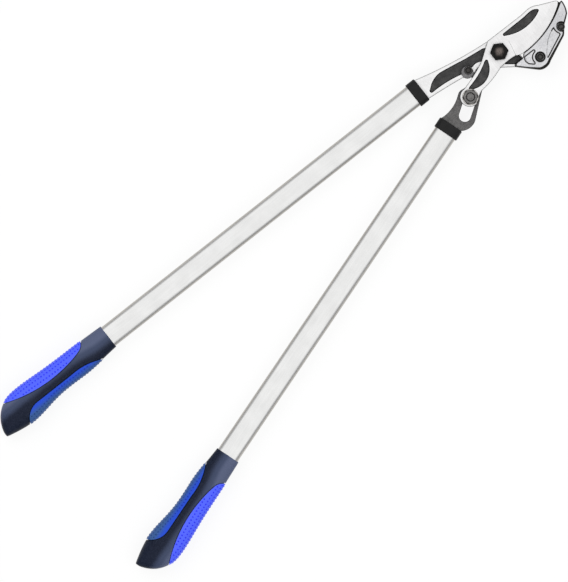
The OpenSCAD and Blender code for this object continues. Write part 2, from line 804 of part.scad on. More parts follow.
module lever_plate() {
    head_room = front_z - fit - lever_pin_head_h - plate_gap;
    color("dimgray") difference() {
        union() {
            plate(lever_z, front_z) polygon(lever_outline());
            upright(lever_pin, lever_end_r, lever_z, front_z);
            on_lever_handle() handle_tang(lever_t);
        }
        plate(lever_z - over, front_z + over) slot(slot_near, slot_far, slot_w / 2);
        upright(lever_pin, lever_pin_d / 2 + fit, lever_z - over, front_z + over);
        upright(lever_pin, lever_pin_head_d / 2 + plate_gap, head_room, front_z + over);
    }
}

module jaw_tube() { color("silver") on_jaw_handle() handle_tube(); }
module jaw_collar() { color([0.1, 0.1, 0.1]) on_jaw_handle() handle_collar(jaw_tang_t); }
module jaw_tang_plug() { color([0.2, 0.2, 0.2]) on_jaw_handle() handle_plug(jaw_tang_t); }
module jaw_rivet() { color("gray") on_jaw_handle() handle_rivet(); }
module jaw_grip() { color([0.12, 0.14, 0.22]) on_jaw_handle() handle_grip(); }
module jaw_outer_pad() { color([0.29, 0.36, 1]) on_jaw_handle() grip_pad(outer_pad_outline(0)); }
module jaw_inner_pad() { color([0.29, 0.36, 1]) on_jaw_handle() grip_pad(inner_pad_outline(0)); }

module lever_tube() { color("silver") on_lever_handle() handle_tube(); }
module lever_collar() { color([0.1, 0.1, 0.1]) on_lever_handle() handle_collar(lever_t); }
module lever_tang_plug() { color([0.2, 0.2, 0.2]) on_lever_handle() handle_plug(lever_t); }
module lever_rivet() { color("gray") on_lever_handle() handle_rivet(); }
module lever_grip() { color([0.12, 0.14, 0.22]) on_lever_handle() handle_grip(); }
module lever_outer_pad() { color([0.29, 0.36, 1]) on_lever_handle() grip_pad(outer_pad_outline(0)); }
module lever_inner_pad() { color([0.29, 0.36, 1]) on_lever_handle() grip_pad(inner_pad_outline(0)); }

jaw_arm();
anvil();
anvil_screws();
pivot_bolt();
pivot_bush();
pivot_washer();
pivot_nut();
thrust_washer();
lever_pin_bolt();
lever_pin_washer();
lever_pin_nut();
stop_cam();
stop_screw();
blade();
link_bolt();
link_washer();
link_nut();
lever_plate();
jaw_tube();
jaw_collar();
jaw_tang_plug();
jaw_rivet();
jaw_grip();
jaw_outer_pad();
jaw_inner_pad();
lever_tube();
lever_collar();
lever_tang_plug();
lever_rivet();
lever_grip();
lever_outer_pad();
lever_inner_pad();
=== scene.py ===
"""Dresses the packed anvil lopper for rendering, in the frame of its solids.

The plates of the head are finely split copies of their solids, with ground rims and painted
pockets. Bolts, nuts, screws, tubes, collars, grips and pads are modelled here. Sizes are in
millimetres until they reach Blender.
"""
import logging
import math
from dataclasses import dataclass
from enum import Enum
from typing import Callable, Sequence

import bmesh
import bpy
import numpy as np
from mathutils import Matrix, Vector


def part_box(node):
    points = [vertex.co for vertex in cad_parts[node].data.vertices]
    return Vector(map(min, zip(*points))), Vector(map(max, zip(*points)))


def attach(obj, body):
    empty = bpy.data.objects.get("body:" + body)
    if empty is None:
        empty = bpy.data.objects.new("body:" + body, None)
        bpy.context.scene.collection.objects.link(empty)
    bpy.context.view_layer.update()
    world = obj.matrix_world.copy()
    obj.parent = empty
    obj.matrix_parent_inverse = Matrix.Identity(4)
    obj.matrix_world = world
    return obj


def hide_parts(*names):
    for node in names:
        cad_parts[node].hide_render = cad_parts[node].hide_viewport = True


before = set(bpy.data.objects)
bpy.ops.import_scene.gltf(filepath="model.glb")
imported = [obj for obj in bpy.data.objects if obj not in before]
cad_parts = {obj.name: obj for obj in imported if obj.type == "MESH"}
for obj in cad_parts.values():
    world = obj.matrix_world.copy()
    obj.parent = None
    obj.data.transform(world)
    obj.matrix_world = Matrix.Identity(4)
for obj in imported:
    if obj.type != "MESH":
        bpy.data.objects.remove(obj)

Piece = bpy.types.Object
Material = bpy.types.Material
Socket = bpy.types.NodeSocket
Face = bmesh.types.BMFace
Colour = tuple[float, float, float]
Point = tuple[float, float]
Line = tuple[Vector, Vector]

LOG = logging.getLogger("lopper")
MM = 0.001
UP = Vector((0, 0, 1))
HANDLE_HEIGHT = 16.0

# Points closer than MERGE are one, cuts leave slivers up to SLIVER, flat faces are level within
# LEVEL, and FAR is out of reach
MERGE = 0.002
SLIVER = 0.004
LEVEL = 0.02
FAR = 1000.0

# Largest bends, in degrees, that are shaded smooth on each kind of piece
GROUND = 10.0
TURNED = 30.0
SAWN = 35.0
MOULDED = 40.0

# Names of the distances that the plates' meshes note for their finishes
RIM = "rim_distance"
POCKET = "pocket_distance"


class Side(Enum):
    """The two handles of the tool."""

    JAW = "jaw"
    LEVER = "lever"


class Cut(Enum):
    """Ways to combine a piece with a cutter."""

    TAKE_AWAY = "DIFFERENCE"
    KEEP_COMMON = "INTERSECT"


class Place(Enum):
    """Where a finish reads the place on the surface from."""

    WHOLE_TOOL = "object"
    ALONG_HANDLE = "handle_place"


class Kind(Enum):
    """What is selected in edit mode."""

    FACE = "faces"
    EDGE = "edges"


# Measuring


def spot(at: Point, height: float = 0.0) -> Vector:
    """Gives a place in metres."""
    return Vector((*at, height)) * MM


def heights(node: str) -> Point:
    """Gives a solid's lowest and highest level in millimetres."""
    low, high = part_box(node)
    return low.z / MM, high.z / MM


def is_wall(face: Face) -> bool:
    """Says whether a face stands upright, or nearly so."""
    return abs(face.normal.z) < 0.3


def looks_up(face: Face) -> bool:
    """Says whether a face looks upwards, if not straight up."""
    return face.normal.z > 0.5


def lies_at(face: Face, level: float) -> bool:
    """Says whether a face is flat and lies at a level."""
    return face.normal.z > 0.99 and abs(face.calc_center_median().z / MM - level) < LEVEL


def off_axis(face: Face, at: Point) -> float:
    """Gives a face's distance from an upright axis in millimetres."""
    return (face.calc_center_median().xy / MM - Vector(at)).length


# Bench work on single pieces


def pick(piece: Piece, *others: Piece) -> None:
    """Selects a piece and any others, and nothing else, with the piece active.

    Args:
        piece: The object to work on.
        *others: Objects that are selected with it.
    """
    bpy.ops.object.select_all(action="DESELECT")
    for each in (piece, *others):
        each.select_set(True)
    bpy.context.view_layer.objects.active = piece


def join(piece: Piece, *others: Piece) -> None:
    """Joins other pieces to a piece."""
    pick(piece, *others)
    bpy.ops.object.join()


def enter(piece: Piece, everything: bool = False) -> None:
    """Opens a piece in edit mode.

    Args:
        piece: The object to edit.
        everything: Whether all of it is selected, or nothing.
    """
    pick(piece)
    bpy.ops.object.mode_set(mode="EDIT")
    bpy.ops.mesh.select_mode(type=Kind.FACE.name)
    bpy.ops.mesh.select_all(action="SELECT" if everything else "DESELECT")


def leave() -> None:
    """Goes back to object mode."""
    bpy.ops.object.mode_set(mode="OBJECT")


def select(piece: Piece, kind: Kind, test: Callable[..., bool]) -> None:
    """Selects what passes a test on the piece in edit mode, and nothing else.

    Args:
        piece: The object in edit mode.
        kind: Whether faces or edges are selected.
        test: Says whether a face or an edge is wanted.
    """
    mesh = bmesh.from_edit_mesh(piece.data)
    mesh.normal_update()
    bpy.ops.mesh.select_mode(type=kind.name)
    bpy.ops.mesh.select_all(action="DESELECT")
    for item in getattr(mesh, kind.value):
        if test(item):
            item.select_set(True)
    mesh.select_flush_mode()
    bmesh.update_edit_mesh(piece.data)


def coat(piece: Piece, finish: Material) -> None:
    """Gives the whole of a piece one finish."""
    piece.data.materials.clear()
    piece.data.materials.append(finish)


def paint(piece: Piece, finish: Material, test: Callable[[Face], bool]) -> None:
    """Gives the faces of a piece that pass a test a finish of their own.

    Args:
        piece: The object to paint.
        finish: The material for these faces.
        test: Says whether a face is wanted.
    """
    enter(piece)
    select(piece, Kind.FACE, test)
    slots = piece.data.materials
    if finish.name not in slots:
        slots.append(finish)
    piece.active_material_index = slots.find(finish.name)
    bpy.ops.object.material_slot_assign()
    leave()


def apply_place(piece: Piece) -> None:
    """Puts a piece's place, turn and scale into its mesh."""
    pick(piece)
    bpy.ops.object.transform_apply(location=True, rotation=True, scale=True)


def add_modifier(piece: Piece, kind: str, **settings: object) -> None:
    """Adds a modifier to a piece and applies it.

    Args:
        piece: The object to change.
        kind: The modifier's type.
        **settings: Values for the modifier's properties.
    """
    pick(piece)
    modifier = piece.modifiers.new(kind.lower(), kind)
    for name, value in settings.items():
        setattr(modifier, name, value)
    bpy.ops.object.modifier_apply(modifier=modifier.name)


def clean(piece: Piece) -> None:
    """Merges points that nearly meet and dissolves the slivers that a cut leaves.

    Args:
        piece: The object to clean.
    """
    enter(piece, everything=True)
    bpy.ops.mesh.remove_doubles(threshold=SLIVER * MM)
    bpy.ops.mesh.dissolve_degenerate(threshold=SLIVER * MM)
    leave()


def combine(piece: Piece, cutter: Piece, how: Cut = Cut.TAKE_AWAY, keep_cutter: bool = False) -> None:
    """Cuts a piece with another one.

    Args:
        piece: The object that is cut.
        cutter: The object that cuts it.
        how: Whether the cutter is taken away or the common part is kept.
        keep_cutter: Whether the cutter stays for more work.
    """
    add_modifier(piece, "BOOLEAN", operation=how.value, object=cutter, solver="EXACT")
    clean(piece)
    if not keep_cutter:
        bpy.data.objects.remove(cutter)


def smooth(piece: Piece, angle: float) -> None:
    """Shades a piece smoothly up to an angle, with its large flat faces kept flat.

    Args:
        piece: The object to shade.
        angle: Largest bend, in degrees, that is smoothed.
    """
    pick(piece)
    bpy.ops.object.shade_smooth_by_angle(angle=math.radians(angle))
    add_modifier(piece, "WEIGHTED_NORMAL", keep_sharp=True)


def soften(piece: Piece, width: float, angle: float) -> None:
    """Rounds the sharp edges of a piece and smooths what is round.

    Args:
        piece: The object to soften.
        width: Width of the rounding.
        angle: Smallest bend, in degrees, that counts as a sharp edge.
    """
    limit = math.radians(angle)
    add_modifier(piece, "BEVEL", width=width * MM, segments=2, limit_method="ANGLE", angle_limit=limit)
    clean(piece)
    smooth(piece, angle)


def duplicate(piece: Piece, name: str) -> Piece:
    """Copies a piece with a mesh of its own.

    Args:
        piece: The object to copy.
        name: The copy's name.

    Returns:
        The copy.
    """
    pick(piece)
    bpy.ops.object.duplicate(linked=False)
    copy = bpy.context.object
    copy.name = name
    return copy


def primitive(name: str, add: Callable[..., set[str]], **settings: object) -> Piece:
    """Adds a primitive with its place in its mesh, and with nothing else selected.

    Args:
        name: The new piece's name.
        add: The operator that adds it.
        **settings: Values for the operator.

    Returns:
        The new piece.
    """
    bpy.ops.object.select_all(action="DESELECT")
    add(**settings)
    piece = bpy.context.object
    piece.name = name
    apply_place(piece)
    return piece


def merge_outwards() -> None:
    """Merges the doubles of the piece in edit mode, and turns its faces outwards."""
    bpy.ops.mesh.select_all(action="SELECT")
    bpy.ops.mesh.remove_doubles(threshold=MERGE * MM)
    bpy.ops.mesh.normals_make_consistent(inside=False)


def traced(name: str, points: Sequence[Vector], closed: bool) -> Piece:
    """Draws a line of edges through points, one extruded vertex after the other.

    Args:
        name: The new piece's name.
        points: The points in metres.
        closed: Whether the line returns to its start.

    Returns:
        The line as a mesh object, left in edit mode with all of it selected.
    """
    piece = primitive(name, bpy.ops.mesh.primitive_plane_add, size=MM)
    enter(piece)
    bpy.ops.mesh.select_mode(type="VERT")
    bpy.ops.mesh.select_all(action="SELECT")
    bpy.ops.mesh.merge(type="CENTER")
    bpy.ops.mesh.select_all(action="SELECT")
    bpy.ops.transform.translate(value=points[0])
    route = list(points) + ([points[0]] if closed else [])
    for start, end in zip(route, route[1:]):
        bpy.ops.mesh.extrude_vertices_move(TRANSFORM_OT_translate={"value": end - start})
    bpy.ops.mesh.select_all(action="SELECT")
    bpy.ops.mesh.remove_doubles(threshold=MERGE * MM)
    return piece


def turned(name: str, at: Point, profile: Sequence[Point], closed: bool = False, steps: int = 64) -> Piece:
    """Turns a piece on a lathe, about an upright axis.

    Args:
        name: The new piece's name.
        at: Place of the axis.
        profile: Radius and height of each point of the profile.
        closed: Whether the profile returns to its start, as for a ring.
        steps: Steps round the axis.

    Returns:
        The turned piece.
    """
    points = [spot((at[0] + radius, at[1]), height) for radius, height in profile]
    piece = traced(name, points, closed)
    bpy.ops.mesh.spin(steps=steps, angle=2 * math.pi, center=spot(at), axis=UP)
    merge_outwards()
    leave()
    return piece


def hexagon(name: str, at: Point, across: float, low: float, high: float) -> Piece:
    """Makes an upright hexagon bar with two corners across the handles.

    Args:
        name: The new piece's name.
        at: Place of the axis.
        across: Width across flats.
        low: Height of the lower end.
        high: Height of the upper end.

    Returns:
        The bar.
    """
    return primitive(
        name, bpy.ops.mesh.primitive_cylinder_add, vertices=6, depth=(high - low) * MM,
        radius=across / 2 / math.cos(math.pi / 6) * MM, location=spot(at, (low + high) / 2),
    )


def crowned(name: str, at: Point, across: float, low: float, high: float, both: bool) -> Piece:
    """Makes a hexagon head or nut whose corners are turned off.

    Args:
        name: The new piece's name.
        at: Place of the axis.
        across: Width across flats.
        low: Height of the underside.
        high: Height of the upper side.
        both: Whether the lower corners are turned off as well.

    Returns:
        The head.
    """
    piece = hexagon(name, at, across, low, high)
    flat, corner = across * 0.475, across * 0.6
    drop = (corner - flat) * math.tan(math.radians(30))
    foot = [(0, low), (flat, low), (corner, low + drop)] if both else [(0, low), (corner, low)]
    cone = turned("crown_cutter", at, foot + [(corner, high - drop), (flat, high), (0, high)])
    combine(piece, cone, Cut.KEEP_COMMON)
    return piece


def rounded_bar(name: str, x: Point, width: float, height: float, radius: float) -> Piece:
    """Makes a bar along a handle with a rounded rectangle as its section.

    Args:
        name: The new piece's name.
        x: Start and end along the handle.
        width: Width across the handle.
        height: Height of the bar.
        radius: Rounding of the long edges.

    Returns:
        The bar, on the handle's own axis.
    """
    piece = primitive(
        name, bpy.ops.mesh.primitive_cube_add, size=MM, scale=(x[1] - x[0], width, height),
        location=spot(((x[0] + x[1]) / 2, 0), HANDLE_HEIGHT),
    )
    enter(piece)
    select(piece, Kind.EDGE, lambda edge: abs(edge.verts[0].co.x - edge.verts[1].co.x) > MM)
    bpy.ops.mesh.bevel(offset=radius * MM, segments=10, affect="EDGES")
    leave()
    return piece


def arc(a: Point, b: Point, c: Point, steps: int = 12) -> list[Point]:
    """Gives the points of the arc from a through b to c.

    Args:
        a: First point.
        b: A point on the way.
        c: Last point.
        steps: Straight pieces in the arc.

    Returns:
        The points of the arc.
    """
    d = 2 * (a[0] * (b[1] - c[1]) + b[0] * (c[1] - a[1]) + c[0] * (a[1] - b[1]))
    qa, qb, qc = (p[0] ** 2 + p[1] ** 2 for p in (a, b, c))
    ox = (qa * (b[1] - c[1]) + qb * (c[1] - a[1]) + qc * (a[1] - b[1])) / d
    oy = (qa * (c[0] - b[0]) + qb * (a[0] - c[0]) + qc * (b[0] - a[0])) / d
    radius = math.hypot(a[0] - ox, a[1] - oy)
    start = math.atan2(a[1] - oy, a[0] - ox)
    turn = math.atan2(c[1] - oy, c[0] - ox) - start
    left = (b[0] - a[0]) * (c[1] - b[1]) > (b[1] - a[1]) * (c[0] - b[0])
    if left and turn < 0:
        turn += 2 * math.pi
    elif not left and turn > 0:
        turn -= 2 * math.pi
    angles = [start + turn * i / steps for i in range(steps + 1)]
    return [(ox + radius * math.cos(t), oy + radius * math.sin(t)) for t in angles]


def settle(piece: Piece, body: str, slot: str, *nodes: str) -> None:
    """Hands a finished piece over: its body and the solids that it stands for.

    Args:
        piece: The finished piece.
        body: The body that it moves with.
        slot: The record's material slot; not used.
        *nodes: The solids that it replaces.
    """
    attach(piece, body)
    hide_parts(*nodes)
    LOG.info("%s rides on %s, with %d faces", piece.name, body, len(piece.data.polygons))


def deliver(piece: Piece, finish: Material, body: str, slot: str, node: str) -> None:
    """Dresses a turned piece in one finish and hands it over.

    Args:
        piece: The turned piece.
        finish: Its finish.
        body: The body that it moves with.
        slot: The record's material slot.
        node: The solid that it replaces.
    """
    coat(piece, finish)
    smooth(piece, TURNED)
    settle(piece, body, slot, node)


# Finishes


class Bench:
    """A node tree that is being wired."""

    def __init__(self, tree: bpy.types.NodeTree) -> None:
        """Takes the tree to work on."""
        self.tree = tree

    def add(self, kind: str, inputs: dict[str, object] | None = None, **settings: object) -> bpy.types.Node:
        """Adds a node, with values or links for its inputs.

        Args:
            kind: The node's type name.
            inputs: A value, or a socket to link, for each named or numbered input.
            **settings: Values for the node's properties.

        Returns:
            The node.
        """
        node = self.tree.nodes.new(kind)
        for name, value in settings.items():
            setattr(node, name, value)
        for name, value in (inputs or {}).items():
            socket = node.inputs[int(name) if name.isdigit() else name]
            if isinstance(value, Socket):
                self.tree.links.new(value, socket)
            else:
                socket.default_value = value
        return node

    def noise(self, vector: Socket, scale: object, detail: float) -> Socket:
        """Adds a noise pattern and gives its value."""
        inputs = {"Vector": vector, "Scale": scale, "Detail": detail}
        return self.add("ShaderNodeTexNoise", inputs).outputs["Fac"]

    def math(self, operation: str, a: object, b: object = 0.0) -> Socket:
        """Adds a sum of two values and gives its result."""
        return self.add("ShaderNodeMath", {"0": a, "1": b}, operation=operation).outputs[0]

    def vector(self, operation: str, a: object, b: object) -> Socket:
        """Adds a sum of two vectors and gives its result."""
        return self.add("ShaderNodeVectorMath", {"0": a, "1": b}, operation=operation).outputs[0]

    def apart(self, vector: Socket) -> bpy.types.NodeOutputs:
        """Takes a vector apart and gives its three values."""
        return self.add("ShaderNodeSeparateXYZ", {"Vector": vector}).outputs

    def span(self, value: object, low: object, high: object, start: float, end: float) -> Socket:
        """Adds a smooth change of range, from low and high to start and end, and gives its result."""
        inputs = {"Value": value, "From Min": low, "From Max": high, "To Min": start, "To Max": end}
        return self.add("ShaderNodeMapRange", inputs, interpolation_type="SMOOTHSTEP").outputs["Result"]

    def blend(self, factor: object, a: Socket | Colour, b: Socket | Colour) -> Socket:
        """Adds a mix of two colours and gives its result."""
        a, b = ((*each, 1.0) if isinstance(each, tuple) else each for each in (a, b))
        return self.add("ShaderNodeMix", {"0": factor, "6": a, "7": b}, data_type="RGBA").outputs[2]


class Group(Bench):
    """A node group that is being wired."""

    def __init__(self, name: str, inputs: dict[str, str], outputs: Sequence[str]) -> None:
        """Starts the group with its named sockets.

        Args:
            name: The group's name.
            inputs: Kind of each named input, besides the place on the surface.
            outputs: Names of the value outputs.
        """
        super().__init__(bpy.data.node_groups.new(name, "ShaderNodeTree"))
        sockets = self.tree.interface
        for label, kind in {"Vector": "Vector", **inputs}.items():
            sockets.new_socket(label, in_out="INPUT", socket_type=f"NodeSocket{kind}")
        for label in outputs:
            sockets.new_socket(label, in_out="OUTPUT", socket_type="NodeSocketFloat")
        self.given = self.add("NodeGroupInput").outputs
        self.end = self.add("NodeGroupOutput").inputs

    def put_out(self, name: str, value: Socket) -> None:
        """Links a value to one of the group's outputs."""
        self.tree.links.new(value, self.end[name])


class Effects:
    """Surface effects that several finishes share, each built once as a node group."""

    def __init__(self) -> None:
        """Builds the groups."""
        self.grain = self._grain().tree
        self.mottle = self._mottle().tree
        self.scratches = self._scratches().tree

    def _grain(self) -> Group:
        """Builds long fine lines, as a belt or a brush leaves them.

        Returns:
            The group.
        """
        group = Group("brushed_grain", {"Stretch": "Vector"}, ["Tone"])
        drawn = group.vector("MULTIPLY", group.given["Vector"], group.given["Stretch"])
        group.put_out("Tone", group.noise(drawn, 1.0, 5.0))
        return group

    def _mottle(self) -> Group:
        """Builds soft cloudy patches over a finer speckle.

        Returns:
            The group.
        """
        group = Group("mottle", {"Patch": "Float", "Speckle": "Float"}, ["Patches", "Speckles"])
        group.put_out("Patches", group.noise(group.given["Vector"], group.given["Patch"], 2.0))
        group.put_out("Speckles", group.noise(group.given["Vector"], group.given["Speckle"], 4.0))
        return group

    def _scratches(self) -> Group:
        """Builds a few thin bent lines where a surface has been rubbed.

        Returns:
            The group.
        """
        group = Group("scratches", {"Scale": "Float"}, ["Lines"])
        place = group.given["Vector"]
        warp = group.add("ShaderNodeTexNoise", {"Vector": place, "Scale": 40.0}).outputs["Color"]
        bent = group.vector("ADD", place, group.vector("MULTIPLY", warp, (0.02, 0.02, 0.0)))
        inputs = {"Vector": bent, "Scale": group.given["Scale"]}
        cells = group.add("ShaderNodeTexVoronoi", inputs, feature="DISTANCE_TO_EDGE")
        thin = group.span(cells.outputs["Distance"], 0.0, 0.025, 1.0, 0.0)
        some = group.span(group.noise(place, 90.0, 1.0), 0.5, 0.62, 0.0, 1.0)
        group.put_out("Lines", group.math("MULTIPLY", thin, some))
        return group


class Surface(Bench):
    """A material that is being wired, from the place on the surface to the shader."""

    def __init__(self, name: str, where: Place = Place.WHOLE_TOOL) -> None:
        """Starts the material.

        Args:
            name: The material's name.
            where: What the finish reads the place on the surface from.
        """
        self.material = bpy.data.materials.new(name)
        self.material.use_nodes = True
        super().__init__(self.material.node_tree)
        self.shader = self.tree.nodes["Principled BSDF"].inputs
        if where is Place.WHOLE_TOOL:
            self.place = self.add("ShaderNodeTexCoord").outputs["Object"]
        else:
            self.place = self.add("ShaderNodeAttribute", attribute_name=where.value).outputs["Vector"]

    def effect(self, group: bpy.types.NodeTree, **values: object) -> bpy.types.NodeOutputs:
        """Places a shared effect and gives its outputs."""
        return self.add("ShaderNodeGroup", {"Vector": self.place, **values}, node_tree=group).outputs

    def noted(self, name: str) -> Socket:
        """Reads a distance that the mesh notes."""
        return self.add("ShaderNodeAttribute", attribute_name=name).outputs["Fac"]

    def close(self, colour: Socket, tone: Socket, rough: Point, pattern: Socket, height: float) -> Material:
        """Links the surface to the shader.

        Args:
            colour: The colour.
            tone: The value that the roughness follows.
            rough: The roughness at a low and at a high tone.
            pattern: The pattern that stands out of the surface.
            height: The pattern's height in millimetres.

        Returns:
            The material.
        """
        bump = self.add("ShaderNodeBump", {"Height": pattern, "Distance": height * MM, "Strength": 1.0})
        roughness = self.span(tone, 0.3, 0.7, *rough)
        links = {"Base Color": colour, "Roughness": roughness, "Normal": bump.outputs["Normal"]}
        for name, value in links.items():
            self.tree.links.new(value, self.shader[name])
        return self.material


@dataclass(frozen=True)
class BrushedMetal:
    """A bright metal with a fine grain, a little cloudiness and a few scratches, and optional painted shade
    and highlight at its edges and sides.
    """

    name: str
    bright: Colour
    dull: Colour
    stretch: tuple[float, float, float]
    roughness: Point = (0.32, 0.46)
    scratch: float = 0.25
    grain_height: float = 0.004
    where: Place = Place.WHOLE_TOOL
    flank: Colour | None = None
    flank_from: float = 0.0
    flank_soft: float = 2.5
    rim_line: float = 0.0
    strip: float = 0.0
    pocket_line: float = 0.0
    line_tone: Colour = (0.035, 0.033, 0.03)
    strip_tone: Colour = (1.0, 1.0, 1.0)
    strip_share: float = 0.7
    grain_share: float = 0.6

    def build(self, effects: Effects) -> Material:
        """Wires the finish.

        Args:
            effects: The shared effects.

        Returns:
            The material.
        """
        surface = Surface(self.name, self.where)
        grain = surface.effect(effects.grain, Stretch=self.stretch)["Tone"]
        clouds = surface.effect(effects.mottle, Patch=45.0, Speckle=900.0)["Patches"]
        lines = surface.effect(effects.scratches, Scale=70.0)["Lines"]
        tone = surface.math("MULTIPLY", clouds, 1 - self.grain_share)
        tone = surface.math("ADD", surface.math("MULTIPLY", grain, self.grain_share), tone)
        colour = surface.blend(surface.span(tone, 0.32, 0.68, 0.0, 1.0), self.dull, self.bright)
        scuffed = tuple(min(1.0, part * 1.5 + 0.1) for part in self.bright)
        colour = surface.blend(surface.math("MULTIPLY", lines, self.scratch), colour, scuffed)
        if self.rim_line:
            colour = self._draw_edges(surface, colour)
        # Painted shade: the colour darkens towards a tube's rounded sides
        if self.flank:
            aside = surface.math("ABSOLUTE", surface.apart(surface.place)["Y"])
            start, end = self.flank_from * MM, (self.flank_from + self.flank_soft) * MM
            colour = surface.blend(surface.span(aside, start, end, 0.0, 1.0), colour, self.flank)
        surface.shader["Metallic"].default_value = 1.0
        return surface.close(colour, tone, self.roughness[::-1], grain, self.grain_height)

    def _draw_edges(self, surface: Surface, colour: Socket) -> Socket:
        """Adds a dark line along a plate's rim and its pockets, partly the dark walls' edge and partly
        painted shade, and a painted highlight strip along the rim.

        Args:
            surface: The material.
            colour: The colour so far.

        Returns:
            The colour with the lines.
        """
        rim, pocket = surface.noted(RIM), surface.noted(POCKET)
        # A painted highlight strip on the ground chamfer beside the rim and the pockets
        if self.strip:
            near = surface.math("MINIMUM", rim, surface.math("ADD", pocket, self.rim_line))
            end = self.rim_line + self.strip
            strip = surface.math("MULTIPLY", surface.span(near, end - 0.3, end, 1.0, 0.0), self.strip_share)
            colour = surface.blend(strip, colour, self.strip_tone)
        # Dark lines, partly the dark walls' edge and partly painted shade, along the rim and the pockets
        line = surface.span(rim, self.rim_line * 0.6, self.rim_line * 1.2, 1.0, 0.0)
        if self.pocket_line:
            beside = surface.span(pocket, self.pocket_line * 0.4, self.pocket_line, 1.0, 0.0)
            line = surface.math("MAXIMUM", line, beside)
        return surface.blend(line, colour, self.line_tone)


@dataclass(frozen=True)
class Coating:
    """A dark or painted skin with a fine texture and cloudy tone, and in pockets a dark line along the
    walls that is partly painted shade.
    """

    name: str
    colour: Colour
    pale: Colour
    roughness: Point = (0.55, 0.75)
    speckle: float = 1400.0
    height: float = 0.03
    sheen: float = 0.2
    pocket_line: float = 0.0
    line_tone: Colour = (0.002, 0.002, 0.002)
    patch_share: float = 0.45

    def build(self, effects: Effects) -> Material:
        """Wires the finish.

        Args:
            effects: The shared effects.

        Returns:
            The material.
        """
        surface = Surface(self.name)
        clouds = surface.effect(effects.mottle, Patch=120.0, Speckle=self.speckle)
        fine = surface.math("MULTIPLY", clouds["Speckles"], 1 - self.patch_share)
        tone = surface.math("ADD", surface.math("MULTIPLY", clouds["Patches"], self.patch_share), fine)
        colour = surface.blend(surface.span(tone, 0.35, 0.65, 0.0, 1.0), self.colour, self.pale)
        # A dark line along the pocket's walls, partly their dark paint and partly painted shade
        if self.pocket_line:
            reach = self.pocket_line
            line = surface.span(surface.noted(POCKET), reach * 0.6, reach * 1.2, 1.0, 0.0)
            colour = surface.blend(line, colour, self.line_tone)
        surface.shader["Specular IOR Level"].default_value = self.sheen
        return surface.close(colour, tone, self.roughness, clouds["Speckles"], self.height)


@dataclass(frozen=True)
class WornBlack:
    """Black oxide on a bolt head that a spanner and hands have rubbed brown in the middle."""

    name: str
    at: Point
    core: float = 3.0
    reach: float = 9.5
    ragged: float = 4.0
    black: Colour = (0.006, 0.0058, 0.0055)
    rubbed: Colour = (0.185, 0.155, 0.142)
    roughness: Point = (0.3, 0.5)
    bare: float = 0.7
    sheen: float = 0.12
    height: float = 0.012

    def build(self, effects: Effects) -> Material:
        """Wires the finish.

        Args:
            effects: The shared effects.

        Returns:
            The material.
        """
        surface = Surface(self.name)
        clouds = surface.effect(effects.mottle, Patch=160.0, Speckle=900.0)
        centred = surface.vector("ADD", surface.place, -spot(self.at))
        flat = surface.vector("MULTIPLY", centred, (1.0, 1.0, 0.0))
        away = surface.add("ShaderNodeVectorMath", {"0": flat}, operation="LENGTH").outputs["Value"]
        away = surface.math("ADD", away, surface.math("MULTIPLY", clouds["Patches"], self.ragged * MM))
        worn = surface.span(away, self.core * MM, self.reach * MM, 1.0, 0.0)
        worn = surface.math("MULTIPLY", worn, surface.span(clouds["Speckles"], 0.3, 0.6, 0.35, 1.0))
        colour = surface.blend(worn, self.black, self.rubbed)
        surface.tree.links.new(surface.math("MULTIPLY", worn, self.bare), surface.shader["Metallic"])
        surface.shader["Specular IOR Level"].default_value = self.sheen
        return surface.close(colour, clouds["Patches"], self.roughness, clouds["Speckles"], self.height)


@dataclass(frozen=True)
class HandlePlastic:
    """Moulded plastic or rubber on a handle, whose tone changes across the handle as painted sheen and
    painted shade.
    """

    name: str
    outer: Colour
    middle: Colour
    inner: Colour
    bands: tuple[float, float, float]
    roughness: float = 0.5
    texture: float = 0.02
    sheen: float = 0.2
    wander: float = 2.0
    lean: float = 0.0
    lean_from: float = -530.0
    lean_to: float = -580.0

    def build(self, effects: Effects) -> Material:
        """Wires the finish.

        Args:
            effects: The shared effects.

        Returns:
            The material.
        """
        surface = Surface(self.name, Place.ALONG_HANDLE)
        clouds = surface.effect(effects.mottle, Patch=60.0, Speckle=900.0)
        place = surface.apart(surface.place)
        wander = surface.math("MULTIPLY", clouds["Patches"], self.wander * MM)
        lean = surface.span(place["X"], self.lean_to * MM, self.lean_from * MM, self.lean * MM, 0.0)
        across = surface.math("SUBTRACT", surface.math("ADD", place["Y"], wander), lean)
        low, middle, high = (band * MM for band in self.bands)
        # Painted sheen and shade: the colour runs from inner to outer, lighter on the grip's outer side and
        # greyer towards the pads' edges
        colour = surface.blend(surface.span(across, low, middle, 0.0, 1.0), self.inner, self.middle)
        colour = surface.blend(surface.span(across, middle, high, 0.0, 1.0), colour, self.outer)
        dust = tuple(min(1.0, part * 1.6 + 0.01) for part in self.outer)
        colour = surface.blend(surface.span(clouds["Speckles"], 0.35, 0.7, 0.0, 0.08), colour, dust)
        surface.shader["Specular IOR Level"].default_value = self.sheen
        speckles = clouds["Speckles"]
        rough = (self.roughness - 0.06, self.roughness + 0.06)
        return surface.close(colour, speckles, rough, speckles, self.texture)


